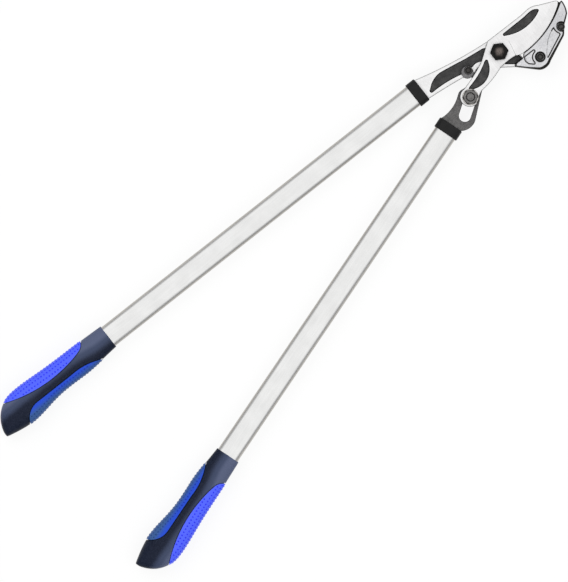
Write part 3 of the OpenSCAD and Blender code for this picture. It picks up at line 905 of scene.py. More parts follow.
class Finishes:
    """All the finishes of the tool, built once."""

    def __init__(self) -> None:
        """Builds every material."""
        effects = Effects()
        fine, even = (800.0, 800.0, 300.0), (600.0, 600.0, 600.0)
        # The plates' rim and pocket lines are partly dark wall paint and partly painted shade; the blade's
        # and jaw's strips are painted highlight
        self.blade = BrushedMetal(
            "ground_blade_steel", (0.985, 0.978, 0.981), (0.915, 0.908, 0.911), (2600.0, 90.0, 400.0),
            rim_line=0.55, strip=1.4,
        ).build(effects)
        self.jaw = BrushedMetal(
            "forged_jaw_steel", (0.98, 0.974, 0.976), (0.89, 0.884, 0.886), (1900.0, 300.0, 400.0),
            rim_line=0.55, strip=1.4,
        ).build(effects)
        self.anvil = BrushedMetal(
            "cast_anvil_alloy", (0.87, 0.87, 0.885), (0.72, 0.72, 0.745), (700.0, 600.0, 500.0),
            (0.38, 0.55), 0.15, 0.01, rim_line=0.5, pocket_line=1.2,
        ).build(effects)
        self.lever = BrushedMetal(
            "dark_lever_steel", (0.19, 0.186, 0.184), (0.122, 0.12, 0.12), (500.0, 900.0, 400.0),
            (0.4, 0.6), 0.25, 0.008, rim_line=0.45,
        ).build(effects)
        self.zinc = BrushedMetal(
            "dull_zinc", (0.24, 0.235, 0.229), (0.14, 0.137, 0.134), fine, (0.3, 0.5), 0.3, 0.006
        ).build(effects)
        # Painted shade for nut chamfers, and a painted highlight for socket floors
        self.dark_zinc = BrushedMetal(
            "dark_zinc_chamfer", (0.1, 0.096, 0.092), (0.05, 0.048, 0.046), fine, (0.3, 0.5), 0.3, 0.006
        ).build(effects)
        self.bright_zinc = BrushedMetal(
            "bright_zinc_washer", (0.75, 0.73, 0.7), (0.55, 0.53, 0.5), fine, (0.3, 0.45), 0.3, 0.006
        ).build(effects)
        self.stop = BrushedMetal(
            "turned_stop_steel", (0.25, 0.248, 0.252), (0.16, 0.158, 0.162), (900.0, 900.0, 300.0),
            (0.35, 0.5), 0.3, 0.006,
        ).build(effects)
        self.bronze = BrushedMetal(
            "oiled_bronze", (0.6, 0.42, 0.2), (0.42, 0.28, 0.13), even, (0.35, 0.5), 0.2, 0.006
        ).build(effects)
        # The tube's rounded sides get painted shade from 11.5 mm beside its axis
        self.tube = BrushedMetal(
            "satin_tube_alloy", (0.9, 0.9, 0.895), (0.83, 0.83, 0.825), (40.0, 2400.0, 2400.0),
            (0.28, 0.36), 0.1, 0.003, Place.ALONG_HANDLE, (0.5, 0.48, 0.45), 11.5,
        ).build(effects)
        # The pockets' floors get a dark line along the walls, partly dark paint and partly painted shade
        self.pocket = Coating(
            "pocket_paint", (0.03, 0.03, 0.0305), (0.07, 0.069, 0.068), sheen=0.12, pocket_line=1.2
        ).build(effects)
        self.pocket_wall = Coating(
            "pocket_shadow_paint", (0.003, 0.003, 0.003), (0.007, 0.007, 0.007), height=0.015, sheen=0.1
        ).build(effects)
        self.edge = Coating(
            "edge_paint", (0.006, 0.006, 0.006), (0.016, 0.016, 0.016), (0.4, 0.6), height=0.02, sheen=0.15
        ).build(effects)
        self.black = Coating(
            "black_oxide", (0.006, 0.006, 0.006), (0.014, 0.0135, 0.013), (0.3, 0.5), height=0.01
        ).build(effects)
        self.pivot = WornBlack("worn_pivot_black", MainPivot.at).build(effects)
        self.collar = Coating(
            "collar_plastic", (0.008, 0.008, 0.0082), (0.014, 0.014, 0.0143), (0.42, 0.58), 1100.0, 0.02
        ).build(effects)
        self.plug = Coating("plug_plastic", (0.04, 0.04, 0.04), (0.06, 0.06, 0.06)).build(effects)
        # The grip is painted lighter on its outer side as a sheen; pads and nubs are painted greyer towards
        # their edges as shade
        self.grip = HandlePlastic(
            "grip_plastic", (0.082, 0.1, 0.17), (0.041, 0.055, 0.104), (0.0035, 0.0065, 0.018),
            (-10.0, 0.0, 7.0), 0.45, sheen=0.13, lean=6.0,
        ).build(effects)
        self.seam = Coating("seam_shadow", (0.03, 0.024, 0.013), (0.045, 0.036, 0.02)).build(effects)
        self.pad = HandlePlastic(
            "pad_rubber", (0.076, 0.118, 0.92), (0.01, 0.06, 0.55), (0.033, 0.094, 0.25),
            (-19.0, -10.0, 3.0), 0.55, 0.015,
        ).build(effects)
        self.nub = HandlePlastic(
            "pad_nub_rubber", (0.02, 0.026, 0.78), (0.006, 0.03, 0.42), (0.016, 0.055, 0.18),
            (-19.0, -10.0, 3.0),
        ).build(effects)


# Screws, nuts and washers


def socket_screw(name: str, at: Point, low: float, top: float, finishes: Finishes) -> Piece:
    """Turns a socket screw, cuts its hexagon and blackens it, with zinc on the chamfers of its head and
    ring, and a painted highlight on the socket's floor.

    Args:
        name: The new piece's name.
        at: Place of the screw.
        low: Height of the thread's end.
        top: Height of the head's upper face.
        finishes: All the finishes.

    Returns:
        The screw.
    """
    head, thread, tall, socket, depth = 5.0, 3.0, 6.0, 5.0, 3.0
    profile = [
        (0, low), (thread - 0.5, low), (thread, low + 0.5), (thread, top - tall), (head - 0.2, top - tall),
        (head, top - tall + 0.2), (head, top - 0.6), (head - 0.2, top - 0.2), (head - 0.6, top), (3.7, top),
        (3.5, top - 0.25), (3.1, top - 0.25), (2.9, top - 0.7), (0, top - 0.7),
    ]
    screw = turned(name, at, profile, steps=48)
    combine(screw, hexagon("socket_cutter", at, socket, top - depth, top + 1))
    coat(screw, finishes.black)
    paint(screw, finishes.zinc, lambda face: 0.3 < face.normal.z < 0.95 and off_axis(face, at) > 3.3)
    # A painted highlight on the socket's floor
    paint(screw, finishes.dark_zinc, lambda face: lies_at(face, top - depth))
    return screw


def add_washer(
    node: str, at: Point, outer: float, inner: float, finish: Material, body: str, slot: str = "zinc_steel"
) -> None:
    """Turns a washer or a bush with broken edges, dresses it and hands it over.

    Args:
        node: The solid that it replaces.
        at: Place of the axis.
        outer: Outer radius.
        inner: Radius of the hole.
        finish: Its finish.
        body: The body that it moves with.
        slot: The record's material slot.
    """
    low, high = heights(node)
    c = min(0.3, (high - low) / 4)
    profile = [
        (inner, low + c), (inner + c, low), (outer - c, low), (outer, low + c), (outer, high - c),
        (outer - c, high), (inner + c, high), (inner, high - c),
    ]
    deliver(turned(f"{node}_turned", at, profile, closed=True), finish, body, slot, node)


def add_nut(node: str, at: Point, across: float, bore: float, body: str, finishes: Finishes) -> None:
    """Makes a hexagon nut with a countersunk bore, dresses it and hands it over.

    Args:
        node: The solid that it replaces.
        at: Place of the axis.
        across: Width across flats.
        bore: Radius of the bolt in it.
        body: The body that it moves with.
        finishes: All the finishes.
    """
    low, high = heights(node)
    nut = crowned(f"{node}_crowned", at, across, low, high, both=True)
    sink, play = 0.9, 0.05
    wide, hole = bore + sink + 1, bore + play
    profile = [(wide, low - 1), (hole, low + sink), (hole, high - sink), (wide, high + 1)]
    combine(nut, turned("bore_cutter", at, [(0, low - 1), *profile, (0, high + 1)]))
    coat(nut, finishes.zinc)
    # The bore is painted black as shade
    paint(nut, finishes.pocket_wall, lambda face: off_axis(face, at) < bore + sink * 0.9)
    # The nut's chamfers are painted darker as shade
    paint(
        nut, finishes.dark_zinc,
        lambda face: 0.4 < abs(face.normal.z) < 0.97 and off_axis(face, at) > across / 2 - 1,
    )
    soften(nut, 0.15, 25.0)
    settle(nut, body, "zinc_steel", node)


# Sub-assemblies of the head


@dataclass
class PlateDresser:
    """Turns the copy of a plate's solid into a finished plate with painted pockets.

    The upper faces are split finely, and every vertex notes its distance from the plate's outer rim
    and from the nearest pocket. The finishes draw dark lines along them, partly dark wall paint and partly
    painted shade, and strips of painted highlight. The chamfer gives how deep the rim is ground at some
    distances from it.
    """

    node: str
    name: str
    top: float
    pocket_depth: float = 1.2
    cell: float = 1.0
    cell_shift: float = 0.63
    flat_within: float = 0.4
    slack: float = 0.1
    faint: float = 0.2
    chamfer: tuple[Point, ...] = ((0.0, 0.7), (0.4, 0.32), (1.7, 0.0))
    collar_reach: float = -FAR
    collar_angle: float = 0.0
    grind_end: tuple[Point, Point] = ((10.0, 20.0), (-17.0, 4.0))

    def copy(self, body: Material) -> Piece:
        """Copies the solid, joins its triangles into whole faces and gives it its main finish.

        Args:
            body: The finish of the plate.

        Returns:
            The copy.
        """
        piece = bpy.data.objects.new(self.name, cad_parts[self.node].data.copy())
        bpy.context.scene.collection.objects.link(piece)
        enter(piece, everything=True)
        bpy.ops.mesh.remove_doubles(threshold=MERGE * MM)
        bpy.ops.mesh.customdata_custom_splitnormals_clear()
        bpy.ops.mesh.dissolve_limited(angle_limit=math.radians(self.flat_within))
        leave()
        coat(piece, body)
        return piece

    def paint(self, piece: Piece, floor: Material, wall: Material, dark: Material) -> None:
        """Paints the pockets' floors, the pockets' walls and the outer walls.

        Args:
            piece: The plate.
            floor: The finish of the pockets' floors.
            wall: The finish of the pockets' walls.
            dark: The finish of the outer walls.
        """
        paint(piece, floor, lambda face: lies_at(face, self.top - self.pocket_depth))
        paint(piece, wall, lambda face: is_wall(face) and not self.is_outer(face))
        paint(piece, dark, lambda face: is_wall(face) and self.is_outer(face))

    def is_outer(self, wall: Face) -> bool:
        """Says whether a wall goes down past the pockets' floors."""
        return min(v.co.z for v in wall.verts) < (self.top - self.pocket_depth - self.slack) * MM

    def is_free(self, wall: Face) -> bool:
        """Says whether a wall is neither the end of the blade's grind nor in or at a collar.

        Args:
            wall: The wall.

        Returns:
            Whether the wall has a ground rim.
        """
        x, y, _ = wall.calc_center_median() / MM
        (x_low, x_high), (y_low, y_high) = self.grind_end
        ends_grind = x_low < x < x_high and y_low < y < y_high and wall.normal.x > 0.9
        turn = math.radians(self.collar_angle)
        along = x * math.cos(turn) + y * math.sin(turn)
        return not ends_grind and along > self.collar_reach + self.slack

    def on_top(self, vert: bmesh.types.BMVert | bpy.types.MeshVertex) -> bool:
        """Says whether a vertex lies on the plate's upper side."""
        return vert.co.z > (self.top - LEVEL) * MM

    def rim_lines(self, piece: Piece, wanted: Callable[[Face], bool]) -> list[Line]:
        """Finds the edges between the upper side and the walls that pass a test.

        Args:
            piece: The plate.
            wanted: Says whether a wall is wanted.

        Returns:
            The two ends of each edge.
        """
        mesh = bmesh.new()
        mesh.from_mesh(piece.data)
        lines = []
        for edge in mesh.edges:
            walls = [face for face in edge.link_faces if is_wall(face)]
            tops = [face for face in edge.link_faces if looks_up(face)]
            if len(walls) == 1 and len(tops) == 1 and wanted(walls[0]):
                lines.append(tuple(v.co.copy() for v in edge.verts))
        mesh.free()
        return lines

    def split(self, piece: Piece, lowest: float, lines: Sequence[Line] = ()) -> None:
        """Splits the upper faces along a square grid and along some lines of their own.

        Args:
            piece: The plate.
            lowest: Height above which upward faces are split.
            lines: Two points of each such line.
        """
        mesh = bmesh.new()
        mesh.from_mesh(piece.data)
        upper = [f for f in mesh.faces if looks_up(f) and f.calc_center_median().z > lowest * MM]
        places = np.array([v.co for f in upper for v in f.verts])
        low, high = places.min(0), places.max(0)
        cuts = []
        for axis, side in enumerate((Vector((1, 0, 0)), Vector((0, 1, 0)))):
            cell = self.cell * MM
            steps = int((high[axis] - low[axis]) / cell)
            cuts += [(side * (low[axis] + (n + self.cell_shift) * cell), side) for n in range(steps)]
        cuts += [(a, UP.cross(b - a).normalized()) for a, b in lines]
        upper = bmesh.ops.triangulate(mesh, faces=upper)["faces"]
        work = list({item for f in upper for item in (f, *f.edges, *f.verts)})
        for place, side in cuts:
            work = bmesh.ops.bisect_plane(mesh, geom=work, plane_co=place, plane_no=side, dist=1e-7)["geom"]
        mesh.to_mesh(piece.data)
        mesh.free()

    def distances(self, piece: Piece, lines: Sequence[Line]) -> np.ndarray:
        """Measures how far each vertex lies from the nearest of some lines, seen from above.

        Args:
            piece: The plate.
            lines: The two ends of each line.

        Returns:
            The distance of each vertex in millimetres, and a large one where there are no lines.
        """
        if not lines:
            return np.full(len(piece.data.vertices), FAR)
        points = np.array([v.co.xy for v in piece.data.vertices])[:, None, :]
        start = np.array([a.xy for a, _ in lines])[None, :, :]
        run = np.array([(b - a).xy for a, b in lines])[None, :, :]
        share = ((points - start) * run).sum(-1) / np.maximum((run ** 2).sum(-1), 1e-12)
        nearest = start + np.clip(share, 0, 1)[..., None] * run
        return np.sqrt(((points - nearest) ** 2).sum(-1)).min(-1) / MM

    def note(self, piece: Piece, name: str, values: np.ndarray) -> None:
        """Writes a value for each vertex into the mesh, for the finishes to read."""
        attribute = piece.data.attributes.get(name) or piece.data.attributes.new(name, "FLOAT", "POINT")
        attribute.data.foreach_set("value", values.astype(np.float32))

    def chart(self, piece: Piece, lowest: float, ends: Sequence[Point] = ()) -> None:
        """Splits the upper side, grinds its rim and notes the distances from rim and pockets.

        Args:
            piece: The plate.
            lowest: Height above which upward faces are split.
            ends: The two ends of the line where a blade's grind runs out.
        """
        rims = self.rim_lines(piece, lambda wall: self.is_outer(wall) and self.is_free(wall))
        pockets = self.rim_lines(piece, lambda wall: not self.is_outer(wall))
        run_outs = [tuple(spot(end) for end in ends)] if ends else []
        self.split(piece, lowest, run_outs)
        self.note(piece, RIM, self.distances(piece, rims))
        for reach, _ in self.chamfer[1:]:
            self.cut_level(piece, reach)
        to_rim = self.distances(piece, rims)
        for vert, away in zip(piece.data.vertices, to_rim):
            if self.on_top(vert):
                vert.co.z -= np.interp(away, *zip(*self.chamfer)) * MM
        self.note(piece, RIM, np.minimum(to_rim, 2 * self.distances(piece, run_outs) + self.faint))
        self.note(piece, POCKET, self.distances(piece, pockets))

    def cut_level(self, piece: Piece, reach: float) -> None:
        """Splits the upper side along the line that lies at one distance from the rim.

        Args:
            piece: The plate, with its distances from the rim noted.
            reach: The distance.
        """
        mesh = bmesh.new()
        mesh.from_mesh(piece.data)
        layer = mesh.verts.layers.float[RIM]
        for edge in list(mesh.edges):
            near, far = sorted(edge.verts, key=lambda vert: vert[layer])
            crosses = near[layer] < reach - LEVEL and far[layer] > reach + LEVEL
            if crosses and self.on_top(near) and self.on_top(far):
                share = (reach - near[layer]) / (far[layer] - near[layer])
                bmesh.utils.edge_split(edge, near, share)[1][layer] = reach
        on_line = [v for v in mesh.verts if self.on_top(v) and abs(v[layer] - reach) <= LEVEL]
        bmesh.ops.connect_verts(mesh, verts=on_line)
        mesh.to_mesh(piece.data)
        mesh.free()


@dataclass
class Assembly:
    """A sub-assembly of the tool, with the finishes for its pieces."""

    finishes: Finishes

    def build(self) -> None:
        """Models the pieces and dresses them."""
        raise NotImplementedError


@dataclass
class JawArm(Assembly):
    """The forged arm that carries the anvil, the pivots and the upper handle."""

    top: float = 18.5
    split_depth: float = 1.6

    def build(self) -> None:
        """Models the arm and dresses it."""
        dresser = PlateDresser("jaw_arm", "forged_jaw_arm", self.top, collar_reach=HandlePair.jaw_at[0])
        piece = dresser.copy(self.finishes.jaw)
        dresser.paint(piece, self.finishes.pocket, self.finishes.pocket_wall, self.finishes.edge)
        dresser.chart(piece, self.top - self.split_depth)
        smooth(piece, GROUND)
        settle(piece, "jaw", "forged_steel", "jaw_arm")


@dataclass
class Anvil(Assembly):
    """The cast anvil with its dark rounded back, and the two screws that hold it.

    The dark band gives the width of the dark back at some places along the anvil.
    """

    top: float = 26.0
    split_depth: float = 1.6
    bore_depth: float = 9.0
    back_round: float = 2.6
    landing_chamfer: float = 0.9
    screws: tuple[Point, Point] = ((37.4, -38.0), (82.6, -24.1))
    marks: tuple[Point, ...] = ((23.6, -31.2), (53.8, -35.8), (91.2, -11.7))
    mark_levels: tuple[float, ...] = (24.8, 24.8, 26.0)
    mark_r: float = 2.8
    mark_half: float = 0.2
    mark_depth: float = 0.15
    mark_tone: float = 0.85
    lit_tone: float = 0.6
    lit_from: float = 40.0
    back_line: float = 0.45
    landing_line: float = 0.5
    dark_band: tuple[Point, ...] = ((16, 1.5), (26, 2.6), (34, 3.8), (52, 3.3), (80, 2.4), (104, 1.7))

    def build(self) -> None:
        """Models the anvil and its screws and dresses them."""
        dresser = PlateDresser("anvil", "cast_anvil", self.top, cell=0.7)
        piece = dresser.copy(self.finishes.anvil)
        dresser.paint(piece, self.finishes.anvil, self.finishes.pocket_wall, self.finishes.edge)
        inner, outer = self.mark_r - self.mark_half, self.mark_r + self.mark_half
        for at, level in zip(self.marks, self.mark_levels):
            low, high = level - self.mark_depth, level + 1
            groove = [(inner, low), (outer, low), (outer, high), (inner, high)]
            combine(piece, turned("groove_cutter", at, groove, closed=True))
        self._round_rims(dresser, piece)
        smooth(piece, MOULDED)
        settle(piece, "jaw", "anvil_alloy", "anvil")
        self._add_screws()

    def _round_rims(self, dresser: PlateDresser, piece: Piece) -> None:
        """Rounds the back widely and the blade's side narrowly, and notes where both are dark, the landing
        side's line partly as painted shade.

        Args:
            dresser: The tool that splits the upper side.
            piece: The anvil.
        """
        back = dresser.rim_lines(piece, lambda wall: self._is_deep(wall) and self._faces_back(wall))
        front = dresser.rim_lines(piece, lambda wall: self._is_deep(wall) and not self._faces_back(wall))
        pockets = dresser.rim_lines(piece, lambda wall: self._is_pocket(wall) and not self._is_lit(wall))
        lit = dresser.rim_lines(piece, lambda wall: self._is_pocket(wall) and self._is_lit(wall))
        dresser.split(piece, self.top - self.split_depth)
        to_back, to_front, to_pocket, to_lit = (
            dresser.distances(piece, lines) for lines in (back, front, pockets, lit)
        )
        # The lines along the pockets are painted shade beside their dark walls, fainter along the lit
        # walls; each groove gets a fainter dark line too
        to_pocket = np.minimum(to_pocket, to_lit + self.lit_tone)
        places = np.array([v.co.xy / MM for v in piece.data.vertices])
        for at in self.marks:
            away = np.hypot(*(places - at).T)
            to_pocket = np.minimum(to_pocket, np.abs(away - self.mark_r) + self.mark_tone)
        r = self.back_round
        for vert, behind, before in zip(piece.data.vertices, to_back, to_front):
            if dresser.on_top(vert):
                inward = max(0.0, 1 - behind / r)
                drop = r * (1 - math.sqrt(1 - inward * inward))
                vert.co.z -= max(drop, self.landing_chamfer - before, 0.0) * MM
        band = np.interp(places[:, 0], *zip(*self.dark_band))
        # The dark line at the landing edge is partly dark paint and partly painted shade of the gap to the
        # blade
        landing = to_front - self.landing_chamfer + self.landing_line
        dark = np.minimum(to_back - band + self.back_line, landing)
        dresser.note(piece, RIM, dark)
        dresser.note(piece, POCKET, to_pocket)

    def _is_deep(self, wall: Face) -> bool:
        """Says whether a wall reaches below the screws' counterbores."""
        return min(v.co.z for v in wall.verts) < (self.top - self.bore_depth) * MM

    def _is_pocket(self, wall: Face) -> bool:
        """Says whether a wall belongs to a pocket or a counterbore, and not to a groove."""
        return not self._is_deep(wall) and all(off_axis(wall, at) > self.mark_r + 0.6 for at in self.marks)

    def _is_lit(self, wall: Face) -> bool:
        """Says whether a pocket's wall is the long one that catches the light."""
        return wall.normal.x > 0.4 and wall.calc_center_median().x > self.lit_from * MM

    def _faces_back(self, wall: Face) -> bool:
        """Says whether a wall faces away from the blade."""
        return wall.normal.y < -0.05 or wall.normal.x > 0.6

    def _add_screws(self) -> None:
        """Models one socket screw, copies it, and joins the pair."""
        start, end = (spot(at) for at in self.screws)
        low = heights("anvil_screws")[0]
        first = socket_screw("anvil_screw_pair", self.screws[0], low, self.top, self.finishes)
        second = duplicate(first, "second_screw")
        bpy.ops.transform.translate(value=end - start)
        apply_place(second)
        join(first, second)
        smooth(first, TURNED)
        settle(first, "jaw", "black_steel", "anvil_screws")


@dataclass
class Blade(Assembly):
    """The swinging blade, with the link bolt, washer and nut in its tail."""

    top: float = 23.75
    split_depth: float = 2.6
    link: Point = (-65.4, -22.9)
    link_r: float = 5.0
    link_head: float = 10.5
    link_across: float = 18.0
    run_out: tuple[Point, Point] = ((14.0, -17.0), (18.5, 3.8))

    def build(self) -> None:
        """Models the blade and its link and dresses them."""
        dresser = PlateDresser("blade", "ground_blade", self.top)
        piece = dresser.copy(self.finishes.blade)
        dresser.paint(piece, self.finishes.pocket, self.finishes.pocket_wall, self.finishes.edge)
        dresser.chart(piece, self.top - self.split_depth, self.run_out)
        smooth(piece, GROUND)
        settle(piece, "blade", "blade_steel", "blade")
        self._add_link()

    def _add_link(self) -> None:
        """Models the link bolt with its washer and nut."""
        low, high = heights("link_bolt")
        r, head = self.link_r, self.link_head
        profile = [
            (0, low), (head - 0.8, low), (head, low + 0.8), (head, low + 2.6), (head - 0.4, low + 3),
            (r, low + 3), (r, high - 0.7), (r - 0.7, high), (3.6, high), (3.3, high - 0.15),
            (0, high - 0.15),
        ]
        bolt = turned("link_bolt_turned", self.link, profile)
        deliver(bolt, self.finishes.zinc, "blade", "zinc_steel", "link_bolt")
        add_washer("link_washer", self.link, head, r + 0.1, self.finishes.bright_zinc, "blade")
        add_nut("link_nut", self.link, self.link_across, r, "blade", self.finishes)


@dataclass
class MainPivot(Assembly):
    """The main pivot: its bolt, nut and washer, and the bush and thrust washer in the blade."""

    at: Point = (0.0, 0.0)
    across: float = 21.0
    head_height: float = 8.0
    head_ring: float = 1.4
    dish_slope: float = 0.8
    dish_depth: float = 0.25
    bolt_r: float = 7.0
    bush_r: float = 9.0
    washer_r: float = 14.0
    thrust_r: float = 14.5
    fit: float = 0.05

    def build(self) -> None:
        """Models the pivot and dresses it."""
        high = heights("pivot_bolt")[1]
        under = high - self.head_height
        head = crowned("pivot_bolt_head", self.at, self.across, under, high, both=False)
        enter(head)
        select(head, Kind.FACE, lambda face: lies_at(face, high))
        bpy.ops.mesh.inset(thickness=self.head_ring * MM, depth=0.0)
        bpy.ops.mesh.inset(thickness=self.dish_slope * MM, depth=-self.dish_depth * MM)
        leave()
        soften(head, 0.3, 20.0)
        r, end = self.bolt_r, under + 0.5
        shank = turned("pivot_shank", self.at, [(0, 0), (r - 1, 0), (r, 1), (r, end), (0, end)])
        smooth(shank, TURNED)
        join(head, shank)
        coat(head, self.finishes.pivot)
        settle(head, "jaw", "black_steel", "pivot_bolt")
        add_nut("pivot_nut", self.at, self.across, r, "jaw", self.finishes)
        for node, outer, inner, finish, slot in (
            ("pivot_washer", self.washer_r, r, self.finishes.zinc, "zinc_steel"),
            ("thrust_washer", self.thrust_r, self.bush_r, self.finishes.bronze, "bronze"),
            ("pivot_bush", self.bush_r, r, self.finishes.bronze, "bronze"),
        ):
            add_washer(node, self.at, outer, inner + self.fit, finish, "jaw", slot)


@dataclass
class LeverPin(Assembly):
    """The pin that the lever turns on, under the blade's tail, with its washer and nut."""

    at: Point = (-35.0, -8.0)
    radius: float = 4.0
    head_r: float = 5.3
    head_height: float = 1.8
    washer_r: float = 8.0
    across: float = 13.0

    def build(self) -> None:
        """Models the pin and dresses it."""
        low, high = heights("lever_pin_bolt")
        r, head, under = self.radius, self.head_r, high - self.head_height
        profile = [
            (0, low), (r - 0.8, low), (r, low + 0.8), (r, under), (head, under), (head, high - 0.4),
            (head - 0.4, high), (0, high),
        ]
        pin = turned("lever_pin_turned", self.at, profile)
        deliver(pin, self.finishes.zinc, "jaw", "zinc_steel", "lever_pin_bolt")
        add_washer("lever_pin_washer", self.at, self.washer_r, r + 0.05, self.finishes.zinc, "jaw")
        add_nut("lever_pin_nut", self.at, self.across, r, "jaw", self.finishes)


@dataclass
class Stop(Assembly):
    """The eccentric stop disc and its screw."""

    radius: float = 7.9
    screw: Point = (-46.1, 5.9)
    throw: float = 3.1
    angle: float = 211.0
    hole: float = 3.05
    counterbore: float = 5.15
    bore_depth: float = 3.0
    bore_flare: float = 6.6

    def build(self) -> None:
        """Models the disc and the screw and dresses them."""
        low, high = heights("stop_cam")
        turn = math.radians(self.angle)
        at = (self.screw[0] + self.throw * math.cos(turn), self.screw[1] + self.throw * math.sin(turn))
        r, hole, wide = self.radius, self.hole, self.counterbore
        profile = [(0, low), (r - 0.5, low), (r, low + 0.5), (r, high - 0.6), (r - 0.6, high), (0, high)]
        disc = turned("stop_disc_turned", at, profile)
        floor = high - self.bore_depth
        bore = [
            (0, low - 1), (hole, low - 1), (hole, floor), (wide, floor), (wide, high - 0.4),
            (self.bore_flare, high + 1), (0, high + 1),
        ]
        combine(disc, turned("bore_cutter", self.screw, bore))
        deliver(disc, self.finishes.stop, "stop", "stop_steel", "stop_cam")
        screw = socket_screw("stop_screw_turned", self.screw, *heights("stop_screw"), self.finishes)
        smooth(screw, TURNED)
        settle(screw, "stop", "black_steel", "stop_screw")


@dataclass
class LeverPlate(Assembly):
    """The slotted plate on the lower handle that drives the blade's tail."""

    top: float = 18.5
    split_depth: float = 0.1

    def build(self) -> None:
        """Models the plate and dresses it."""
        dresser = PlateDresser(
            "lever_plate", "slotted_lever_plate", self.top, cell=1.5, chamfer=((0.0, 0.5), (0.6, 0.0)),
            collar_reach=HandlePair.lever_reach, collar_angle=HandlePair.lever_angle,
        )
        piece = dresser.copy(self.finishes.lever)
        dresser.chart(piece, self.top - self.split_depth)
        smooth(piece, SAWN)
        settle(piece, "lever", "lever_steel", "lever_plate")


# Handles


@dataclass(frozen=True)
class Section:
    """One section of the grip: how far from its mouth, its edges beside the axis, half its height."""

    along: float
    outer: float
    inner: float
    half_height: float

    def size(self, grow: float) -> Point:
        """Gives half the width and half the height of the section, drawn outwards by grow."""
        return (self.outer - self.inner) / 2 + grow, self.half_height + grow


GRIP_SECTIONS = [
    Section(*sizes) for sizes in (
        (0, 16.6, -16.4, 9.8), (0.9, 16.8, -16.6, 10), (18, 17.4, -17.9, 10.9), (36, 18.1, -20, 12.2),
        (52, 18.2, -20.6, 13.1), (70, 18.4, -19.7, 13.8), (88, 18.9, -19.6, 14.3), (104, 19.8, -21.1, 14.9),
        (118, 20.7, -23.6, 15.5), (132, 21.2, -25.9, 16), (144, 20.8, -26.7, 16), (152, 19.5, -26.3, 15.7),
        (160, 16.6, -25.3, 15.1), (168, 11.2, -23.9, 14.1), (174, 5, -22.6, 12.9),
        (178.5, -2.2, -21.6, 10.9), (181.6, -10.2, -20.8, 7.6), (182.7, -14.6, -20.2, 4),
    )
]


@dataclass
class HandleParts:
    """A handle's finished pieces, on the handle's own axis."""

    tube: Piece
    collar: Piece
    grip: Piece
    outer_pad: Piece
    inner_pad: Piece


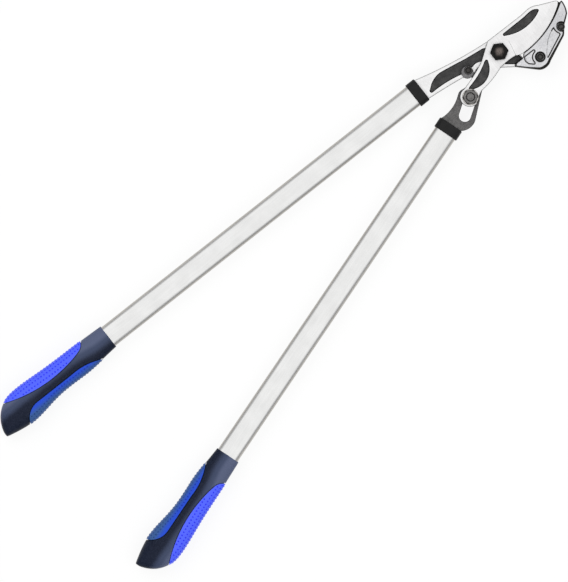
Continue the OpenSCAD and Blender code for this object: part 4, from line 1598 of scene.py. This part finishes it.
@dataclass
class Handle:
    """A handle: collar, tube, grip and two dotted pads, modelled along its own axis.

    The collar's front face is at x = 0, the grip lies towards -X, and +Y is the outer side.
    """

    finishes: Finishes
    tube_width: float = 30.0
    tube_height: float = 16.0
    tube_round: float = 6.0
    tube_wall: float = 1.5
    tube_end: float = -640.0
    collar_len: float = 14.0
    collar_wall: float = 2.0
    collar_face: float = 2.0
    front_round: float = 1.3
    back_round: float = 0.6
    tang_width: float = 18.0
    tang_height: float = 5.0
    tang_room: float = 5.0
    fit: float = 0.05
    mouth: float = -515.0
    ring_points: int = 32
    squareness: float = 2.5
    pad_proud: float = 0.4
    pad_sink: float = 1.6
    seam: float = 1.4
    nub_r: float = 1.05
    nub_sink: float = 0.2
    nub_flat: float = 0.6
    nub_pitch: float = 4.55
    nub_steps: int = 40
    nub_room: float = 1.5
    outer_rows: tuple[float, ...] = (2.4, 6.6, 12.0)
    inner_rows: tuple[float, ...] = (2.4, 6.6)

    def build(self) -> HandleParts:
        """Models the handle's pieces and dresses them.

        Returns:
            The pieces, on the handle's own axis.
        """
        tube = self._bar("tube", (self.tube_end, -self.collar_face))
        combine(tube, self._bar("bore_cutter", (self.tube_end - 1, 1.0), -self.tube_wall))
        coat(tube, self.finishes.tube)
        smooth(tube, MOULDED)
        collar = self._collar()
        skin = self._skin("grip", 0.0)
        proud = self._skin("proud_skin", self.pad_proud)
        core = self._skin("core", -self.pad_sink)
        coat(skin, self.finishes.grip)
        combine(skin, self._bar("socket_cutter", (self.tube_end, self.mouth + 1), self.fit))
        pads = []
        for name, outline in (("outer_pad", self._outer_outline), ("inner_pad", self._inner_outline)):
            recess = self._column("recess", outline(self.seam))
            coat(recess, self.finishes.seam)
            combine(recess, core, keep_cutter=True)
            combine(skin, recess)
            pad = duplicate(proud, name)
            coat(pad, self.finishes.pad)
            combine(pad, self._column("pad_column", outline(0.0)), Cut.KEEP_COMMON)
            combine(pad, core, keep_cutter=True)
            smooth(pad, MOULDED)
            pads.append(pad)
        for helper in (proud, core):
            bpy.data.objects.remove(helper)
        smooth(skin, MOULDED)
        self._add_nubs(pads[0], 1.0, self.outer_rows)
        self._add_nubs(pads[1], -1.0, self.inner_rows)
        parts = HandleParts(tube, collar, skin, *pads)
        for piece in vars(parts).values():
            self._note_place(piece)
        return parts

    def _bar(self, name: str, x: Point, grow: float = 0.0) -> Piece:
        """Makes a bar from x to x with the tube's section, its sides drawn outwards by grow."""
        wide, tall = self.tube_width + 2 * grow, self.tube_height + 2 * grow
        return rounded_bar(name, x, wide, tall, self.tube_round + grow)

    def _collar(self) -> Piece:
        """Models the collar with its rounded ends, and the room for the tube and the tang in it.

        Returns:
            The collar.
        """
        back = -self.collar_len
        collar = self._bar("collar", (back, 0.0), self.collar_wall)
        enter(collar)
        select(collar, Kind.EDGE, lambda edge: all(v.co.x > -0.1 * MM for v in edge.verts))
        bpy.ops.mesh.bevel(offset=self.front_round * MM, segments=3, affect="EDGES")
        select(collar, Kind.EDGE, lambda edge: all(v.co.x < (0.1 + back) * MM for v in edge.verts))
        bpy.ops.mesh.bevel(offset=self.back_round * MM, segments=2, affect="EDGES")
        leave()
        combine(collar, self._bar("socket_cutter", (back - 6, -self.collar_face), self.fit))
        wide, tall = self.tang_width + 2 * self.fit, self.tang_height + 2 * self.fit
        combine(collar, rounded_bar("tang_cutter", (-self.tang_room, self.tang_room), wide, tall, self.fit))
        coat(collar, self.finishes.collar)
        smooth(collar, MOULDED)
        return collar

    def _skin(self, name: str, grow: float) -> Piece:
        """Pulls the grip's skin ring by ring from a circle, and rounds it by subdivision.

        Args:
            name: The new piece's name.
            grow: How far the skin lies outside the grip's own.

        Returns:
            The closed skin.
        """
        piece = primitive(
            name, bpy.ops.mesh.primitive_circle_add, vertices=self.ring_points, radius=1.0,
            fill_type="NOTHING", rotation=(0, math.pi / 2, 0),
        )
        enter(piece)
        bpy.ops.mesh.select_mode(type="VERT")
        mesh = bmesh.from_edit_mesh(piece.data)
        for vert in mesh.verts:
            for axis in (1, 2):
                vert.co[axis] = math.copysign(abs(vert.co[axis]) ** (2 / self.squareness), vert.co[axis])
        bmesh.update_edit_mesh(piece.data)
        bpy.ops.mesh.select_all(action="SELECT")
        self._fit_ring(None, GRIP_SECTIONS[0], grow)
        bpy.ops.mesh.edge_face_add()
        for before, after in zip(GRIP_SECTIONS, GRIP_SECTIONS[1:]):
            bpy.ops.mesh.extrude_region_move()
            self._fit_ring(before, after, grow)
        merge_outwards()
        select(piece, Kind.EDGE, lambda edge: all(v.co.x > (self.mouth - 0.3) * MM for v in edge.verts))
        bpy.ops.transform.edge_crease(value=0.9)
        leave()
        add_modifier(piece, "SUBSURF", levels=2, render_levels=2)
        return piece

    def _fit_ring(self, before: Section | None, after: Section, grow: float) -> None:
        """Moves and scales the selected ring from one section to the next.

        Args:
            before: The section that the ring has, or None for the unit circle at the origin.
            after: The section that it gets.
            grow: How far the ring lies outside the grip's own.
        """
        wide, tall = after.size(grow)
        was_wide, was_tall = before.size(grow) if before else (1 / MM, 1 / MM)
        middle = self._middle(after)
        bpy.ops.transform.translate(value=middle - (self._middle(before) if before else Vector()))
        bpy.ops.transform.resize(value=(1.0, wide / was_wide, tall / was_tall), center_override=middle)

    def _middle(self, section: Section) -> Vector:
        """Gives the middle of a section, in metres."""
        return spot((self.mouth - section.along, (section.outer + section.inner) / 2), HANDLE_HEIGHT)

    def _outer_outline(self, grow: float) -> list[Point]:
        """Gives the outer pad's outline from above.

        Args:
            grow: How far it is drawn outwards.

        Returns:
            The outline's points.
        """
        m = self.mouth
        front = arc((m - 32 + grow, 20.0), (m - 35 + grow, 13.6), (m - 43.5, 8.4 - grow))
        side = arc((m - 47.5, 7.2 - grow), (m - 95, 2.4 - grow), (m - 161 - grow, 16.8), 20)
        return front + side + [(m - 161 - grow, 40), (m - 32 + grow, 40)]

    def _inner_outline(self, grow: float) -> list[Point]:
        """Gives the inner pad's outline from above.

        Args:
            grow: How far it is drawn outwards.

        Returns:
            The outline's points.
        """
        m = self.mouth
        front = arc((m - 23.5 + grow, -18.6), (m - 46, -11 + grow), (m - 69, -9.8 + grow))
        back = arc((m - 124, -9.8 + grow), (m - 139 - grow, -14.6), (m - 148.5 - grow, -27))
        return front + back + [(m - 148.5 - grow, -45), (m - 23.5 + grow, -45)]

    def _column(self, name: str, outline: Sequence[Point]) -> Piece:
        """Raises an upright column over an outline.

        Args:
            name: The new piece's name.
            outline: The outline from above.

        Returns:
            The column.
        """
        foot = -5.0
        rise = UP * 2 * (HANDLE_HEIGHT - foot) * MM
        piece = traced(name, [spot(point, foot) for point in outline], closed=True)
        bpy.ops.mesh.edge_face_add()
        bpy.ops.mesh.extrude_region_move(TRANSFORM_OT_translate={"value": rise})
        merge_outwards()
        leave()
        return piece

    def _nub(self) -> Piece:
        """Models one low nub, standing on the origin.

        Returns:
            The nub.
        """
        nub = primitive(
            "nub", bpy.ops.mesh.primitive_uv_sphere_add, segments=8, ring_count=6, radius=self.nub_r * MM
        )
        enter(nub, everything=True)
        bpy.ops.mesh.bisect(plane_co=-self.nub_sink * MM * UP, plane_no=UP, use_fill=True, clear_inner=True)
        bpy.ops.mesh.select_all(action="SELECT")
        bpy.ops.transform.resize(value=(1, 1, self.nub_flat), center_override=(0, 0, 0))
        leave()
        coat(nub, self.finishes.nub)
        return nub

    def _add_nubs(self, pad: Piece, side: float, rows: Sequence[float]) -> None:
        """Sets rows of nubs on a pad and joins them to it.

        Args:
            pad: The pad.
            side: +1 for the outer pad, -1 for the inner one.
            rows: Distance of each row from the grip's edge, seen from above.
        """
        nub = self._nub()
        copies = []
        for step in range(self.nub_steps):
            along = step * self.nub_pitch
            edge = self._edge_at(along, side)
            looks = [(0.0, Vector((0, side, 0)))]
            looks += [(edge - side * row, out) for row in rows for out in (UP, -UP)]
            for across, out in looks:
                found = self._pad_spot(pad, spot((self.mouth - along, across), HANDLE_HEIGHT), out)
                if found:
                    copy = duplicate(nub, f"nub_{len(copies)}")
                    turn = UP.rotation_difference(found[1]).to_matrix().to_4x4()
                    copy.data.transform(Matrix.Translation(found[0]) @ turn)
                    copies.append(copy)
        bpy.data.objects.remove(nub)
        join(pad, *copies)
        LOG.info("%s carries %d nubs", pad.name, len(copies))

    def _edge_at(self, along: float, side: float) -> float:
        """Gives the place of the grip's outer (+1) or inner (-1) edge at a distance from its mouth."""
        edges = [section.outer if side > 0 else section.inner for section in GRIP_SECTIONS]
        return float(np.interp(along, [section.along for section in GRIP_SECTIONS], edges))

    def _pad_spot(self, pad: Piece, middle: Vector, out: Vector) -> Line | None:
        """Finds the place on a pad for a nub, clear of the pad's edges.

        Args:
            pad: The pad.
            middle: The point inside the grip that the nub points away from.
            out: The direction outwards.

        Returns:
            The place and the direction of the surface there, or None beside the pad.
        """
        outside, least_slope, least_depth = 60 * MM, 0.15, 3 * MM
        start = middle + out * outside
        ahead = Vector((1, 0, 0))
        for way in (ahead, -ahead, out.cross(ahead), ahead.cross(out)):
            found, place, normal, _ = pad.ray_cast(start + way * self.nub_room * MM, -out)
            if not found or normal.dot(out) < least_slope or (place - middle).dot(out) < least_depth:
                return None
        found, place, normal, _ = pad.ray_cast(start, -out)
        return (place, normal) if found else None

    def _note_place(self, piece: Piece) -> None:
        """Writes each vertex's place along the handle into the mesh, for the finishes to read.

        Args:
            piece: A piece on the handle's own axis.
        """
        places = piece.data.attributes.new(Place.ALONG_HANDLE.value, "FLOAT_VECTOR", "POINT")
        for vert in piece.data.vertices:
            places.data[vert.index].vector = vert.co


@dataclass
class HandlePair(Assembly):
    """The two handles: one modelled, one its mirrored copy, each set in its place on the head."""

    jaw_at: Point = (-108.3, 23.8)
    lever_reach: float = -112.2
    lever_offset: float = -1.3
    lever_angle: float = 17.7

    def build(self) -> None:
        """Models the handles and dresses them."""
        slots = ("tube_alloy", "collar_plastic", "grip_plastic", "pad_rubber", "pad_rubber")
        for slot, (kind, piece) in zip(slots, vars(Handle(self.finishes).build()).items()):
            mirrored = duplicate(piece, f"{Side.LEVER.value}_handle_{kind}")
            piece.name = f"{Side.JAW.value}_handle_{kind}"
            self._set_on_jaw(piece)
            self._set_on_lever(mirrored)
            for side, each in ((Side.JAW, piece), (Side.LEVER, mirrored)):
                settle(each, side.value, slot, f"{side.value}_{kind}")

    def _set_on_jaw(self, piece: Piece) -> None:
        """Moves a piece of the upper handle into place.

        Args:
            piece: The piece on the handle's own axis.
        """
        pick(piece)
        bpy.ops.transform.translate(value=spot(self.jaw_at))
        apply_place(piece)

    def _set_on_lever(self, piece: Piece) -> None:
        """Mirrors a piece for the lower handle, and moves and turns it into place.

        Args:
            piece: The piece on the handle's own axis.
        """
        piece.matrix_world = (
            Matrix.Rotation(math.radians(self.lever_angle), 4, "Z")
            @ Matrix.Translation(spot((self.lever_reach, self.lever_offset)))
            @ Matrix.Scale(-1, 4, Vector((0, 1, 0)))
        )
        apply_place(piece)
        enter(piece, everything=True)
        bpy.ops.mesh.normals_make_consistent(inside=False)
        leave()
        smooth(piece, MOULDED)


class HiddenSolids(Assembly):
    """Solids inside the handles that stay as they are and only get a finish."""

    def build(self) -> None:
        """Dresses the solids."""
        for side in Side:
            for kind, finish in (("tang_plug", self.finishes.plug), ("rivet", self.finishes.zinc)):
                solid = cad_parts[f"{side.value}_{kind}"]
                coat(solid, finish)
                LOG.info("%s keeps its solid", solid.name)


# Surroundings


@dataclass
class Studio:
    """The floor, the light and the camera. The lamps have a name, a place and a power each."""

    centre: Point = (-409.0, -70.4)
    frame_height: float = 750.8
    tool_height: float = 20.0
    lens: float = 500.0
    sensor: float = 36.0
    tilt: float = 38.27
    floor_gap: float = 0.4
    white_share: float = 0.88
    overhead: float = 1.0
    around: float = 0.42
    slope: float = 0.05
    lamps: tuple[tuple[str, tuple[float, float, float], float], ...] = (
        ("lamp_left", (-0.7, 1.5, 2.2), 30.0),
        ("lamp_right", (-0.2, -1.6, 2.2), 24.0),
    )
    lamp_size: Point = (2.2, 1.6)
    lamp_aim: tuple[float, float, float] = (-0.4, 0.0, 0.0)

    def build(self) -> None:
        """Sets up the floor, the light and the camera."""
        self._hang_camera()
        self._lay_floor()
        self._light_sky()
        self._hang_lamps()
        bpy.context.scene.view_settings.view_transform = "Standard"

    def _link(self, name: str, data: bpy.types.ID) -> Piece:
        """Puts a lamp or a camera into the scene.

        Args:
            name: The new object's name.
            data: The lamp or camera.

        Returns:
            The new object.
        """
        thing = bpy.data.objects.new(name, data)
        bpy.context.scene.collection.objects.link(thing)
        return thing

    def _hang_camera(self) -> None:
        """Hangs the camera straight above the tool, turned as the picture is."""
        data = bpy.data.cameras.new("camera")
        data.lens = self.lens
        data.sensor_width = self.sensor
        data.clip_end = 100.0
        camera = self._link("camera", data)
        camera.location = spot(self.centre, self.frame_height / self.sensor * self.lens + self.tool_height)
        camera.rotation_euler = (0.0, 0.0, -math.radians(self.tilt))
        bpy.context.scene.camera = camera

    def _lay_floor(self) -> None:
        """Lays a white floor that keeps a soft shadow."""
        place = spot((0, 0), -self.floor_gap)
        floor = primitive("floor", bpy.ops.mesh.primitive_plane_add, size=60.0, location=place)
        material = bpy.data.materials.new("white_floor")
        material.use_nodes = True
        bench = Bench(material.node_tree)
        nodes = bench.tree.nodes
        nodes.remove(nodes["Principled BSDF"])
        rays = bench.add("ShaderNodeLightPath").outputs
        seen = bench.math("MAXIMUM", rays["Is Camera Ray"], rays["Is Glossy Ray"])
        seen = bench.math("MAXIMUM", seen, rays["Is Transmission Ray"])
        share = bench.math("MULTIPLY", seen, self.white_share)
        lit = bench.add("ShaderNodeBsdfDiffuse", {"Color": (0.9, 0.9, 0.9, 1.0)}).outputs[0]
        glow = bench.add("ShaderNodeEmission", {"Color": (1.0, 1.0, 1.0, 1.0), "Strength": 1.0}).outputs[0]
        mix = bench.add("ShaderNodeMixShader", {"0": share, "1": lit, "2": glow})
        bench.tree.links.new(mix.outputs[0], nodes["Material Output"].inputs["Surface"])
        coat(floor, material)

    def _light_sky(self) -> None:
        """Fills the studio with light, white overhead and grey around."""
        world = bpy.data.worlds.new("studio")
        world.use_nodes = True
        bpy.context.scene.world = world
        bench = Bench(world.node_tree)
        up = bench.apart(bench.add("ShaderNodeTexCoord").outputs["Generated"])
        level = bench.span(up["Z"], 0.6, 0.95, self.around, self.overhead)
        level = bench.math("ADD", level, bench.math("MULTIPLY", up["Y"], self.slope))
        background = world.node_tree.nodes["Background"].inputs
        bench.tree.links.new(level, background["Strength"])
        background["Color"].default_value = (1.0, 1.0, 1.0, 1.0)

    def _hang_lamps(self) -> None:
        """Hangs two wide soft lamps that bring matt surfaces to their own colour."""
        for name, place, power in self.lamps:
            data = bpy.data.lights.new(name, "AREA")
            data.shape = "RECTANGLE"
            data.size, data.size_y = self.lamp_size
            data.energy = power
            lamp = self._link(name, data)
            lamp.location = place
            aim = Vector(self.lamp_aim) - Vector(place)
            lamp.rotation_euler = aim.to_track_quat("-Z", "Y").to_euler()
            lamp.visible_camera = False
            lamp.visible_glossy = False


def main() -> None:
    """Builds the studio and every sub-assembly in order."""
    logging.basicConfig(level=logging.INFO, format="%(message)s")
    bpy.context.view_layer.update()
    Studio().build()
    finishes = Finishes()
    for assembly in (
        JawArm, Anvil, Blade, MainPivot, LeverPin, Stop, LeverPlate, HandlePair, HiddenSolids
    ):
        assembly(finishes).build()
        LOG.info("%s is done", assembly.__name__)


if __name__ == "__main__":
    main()
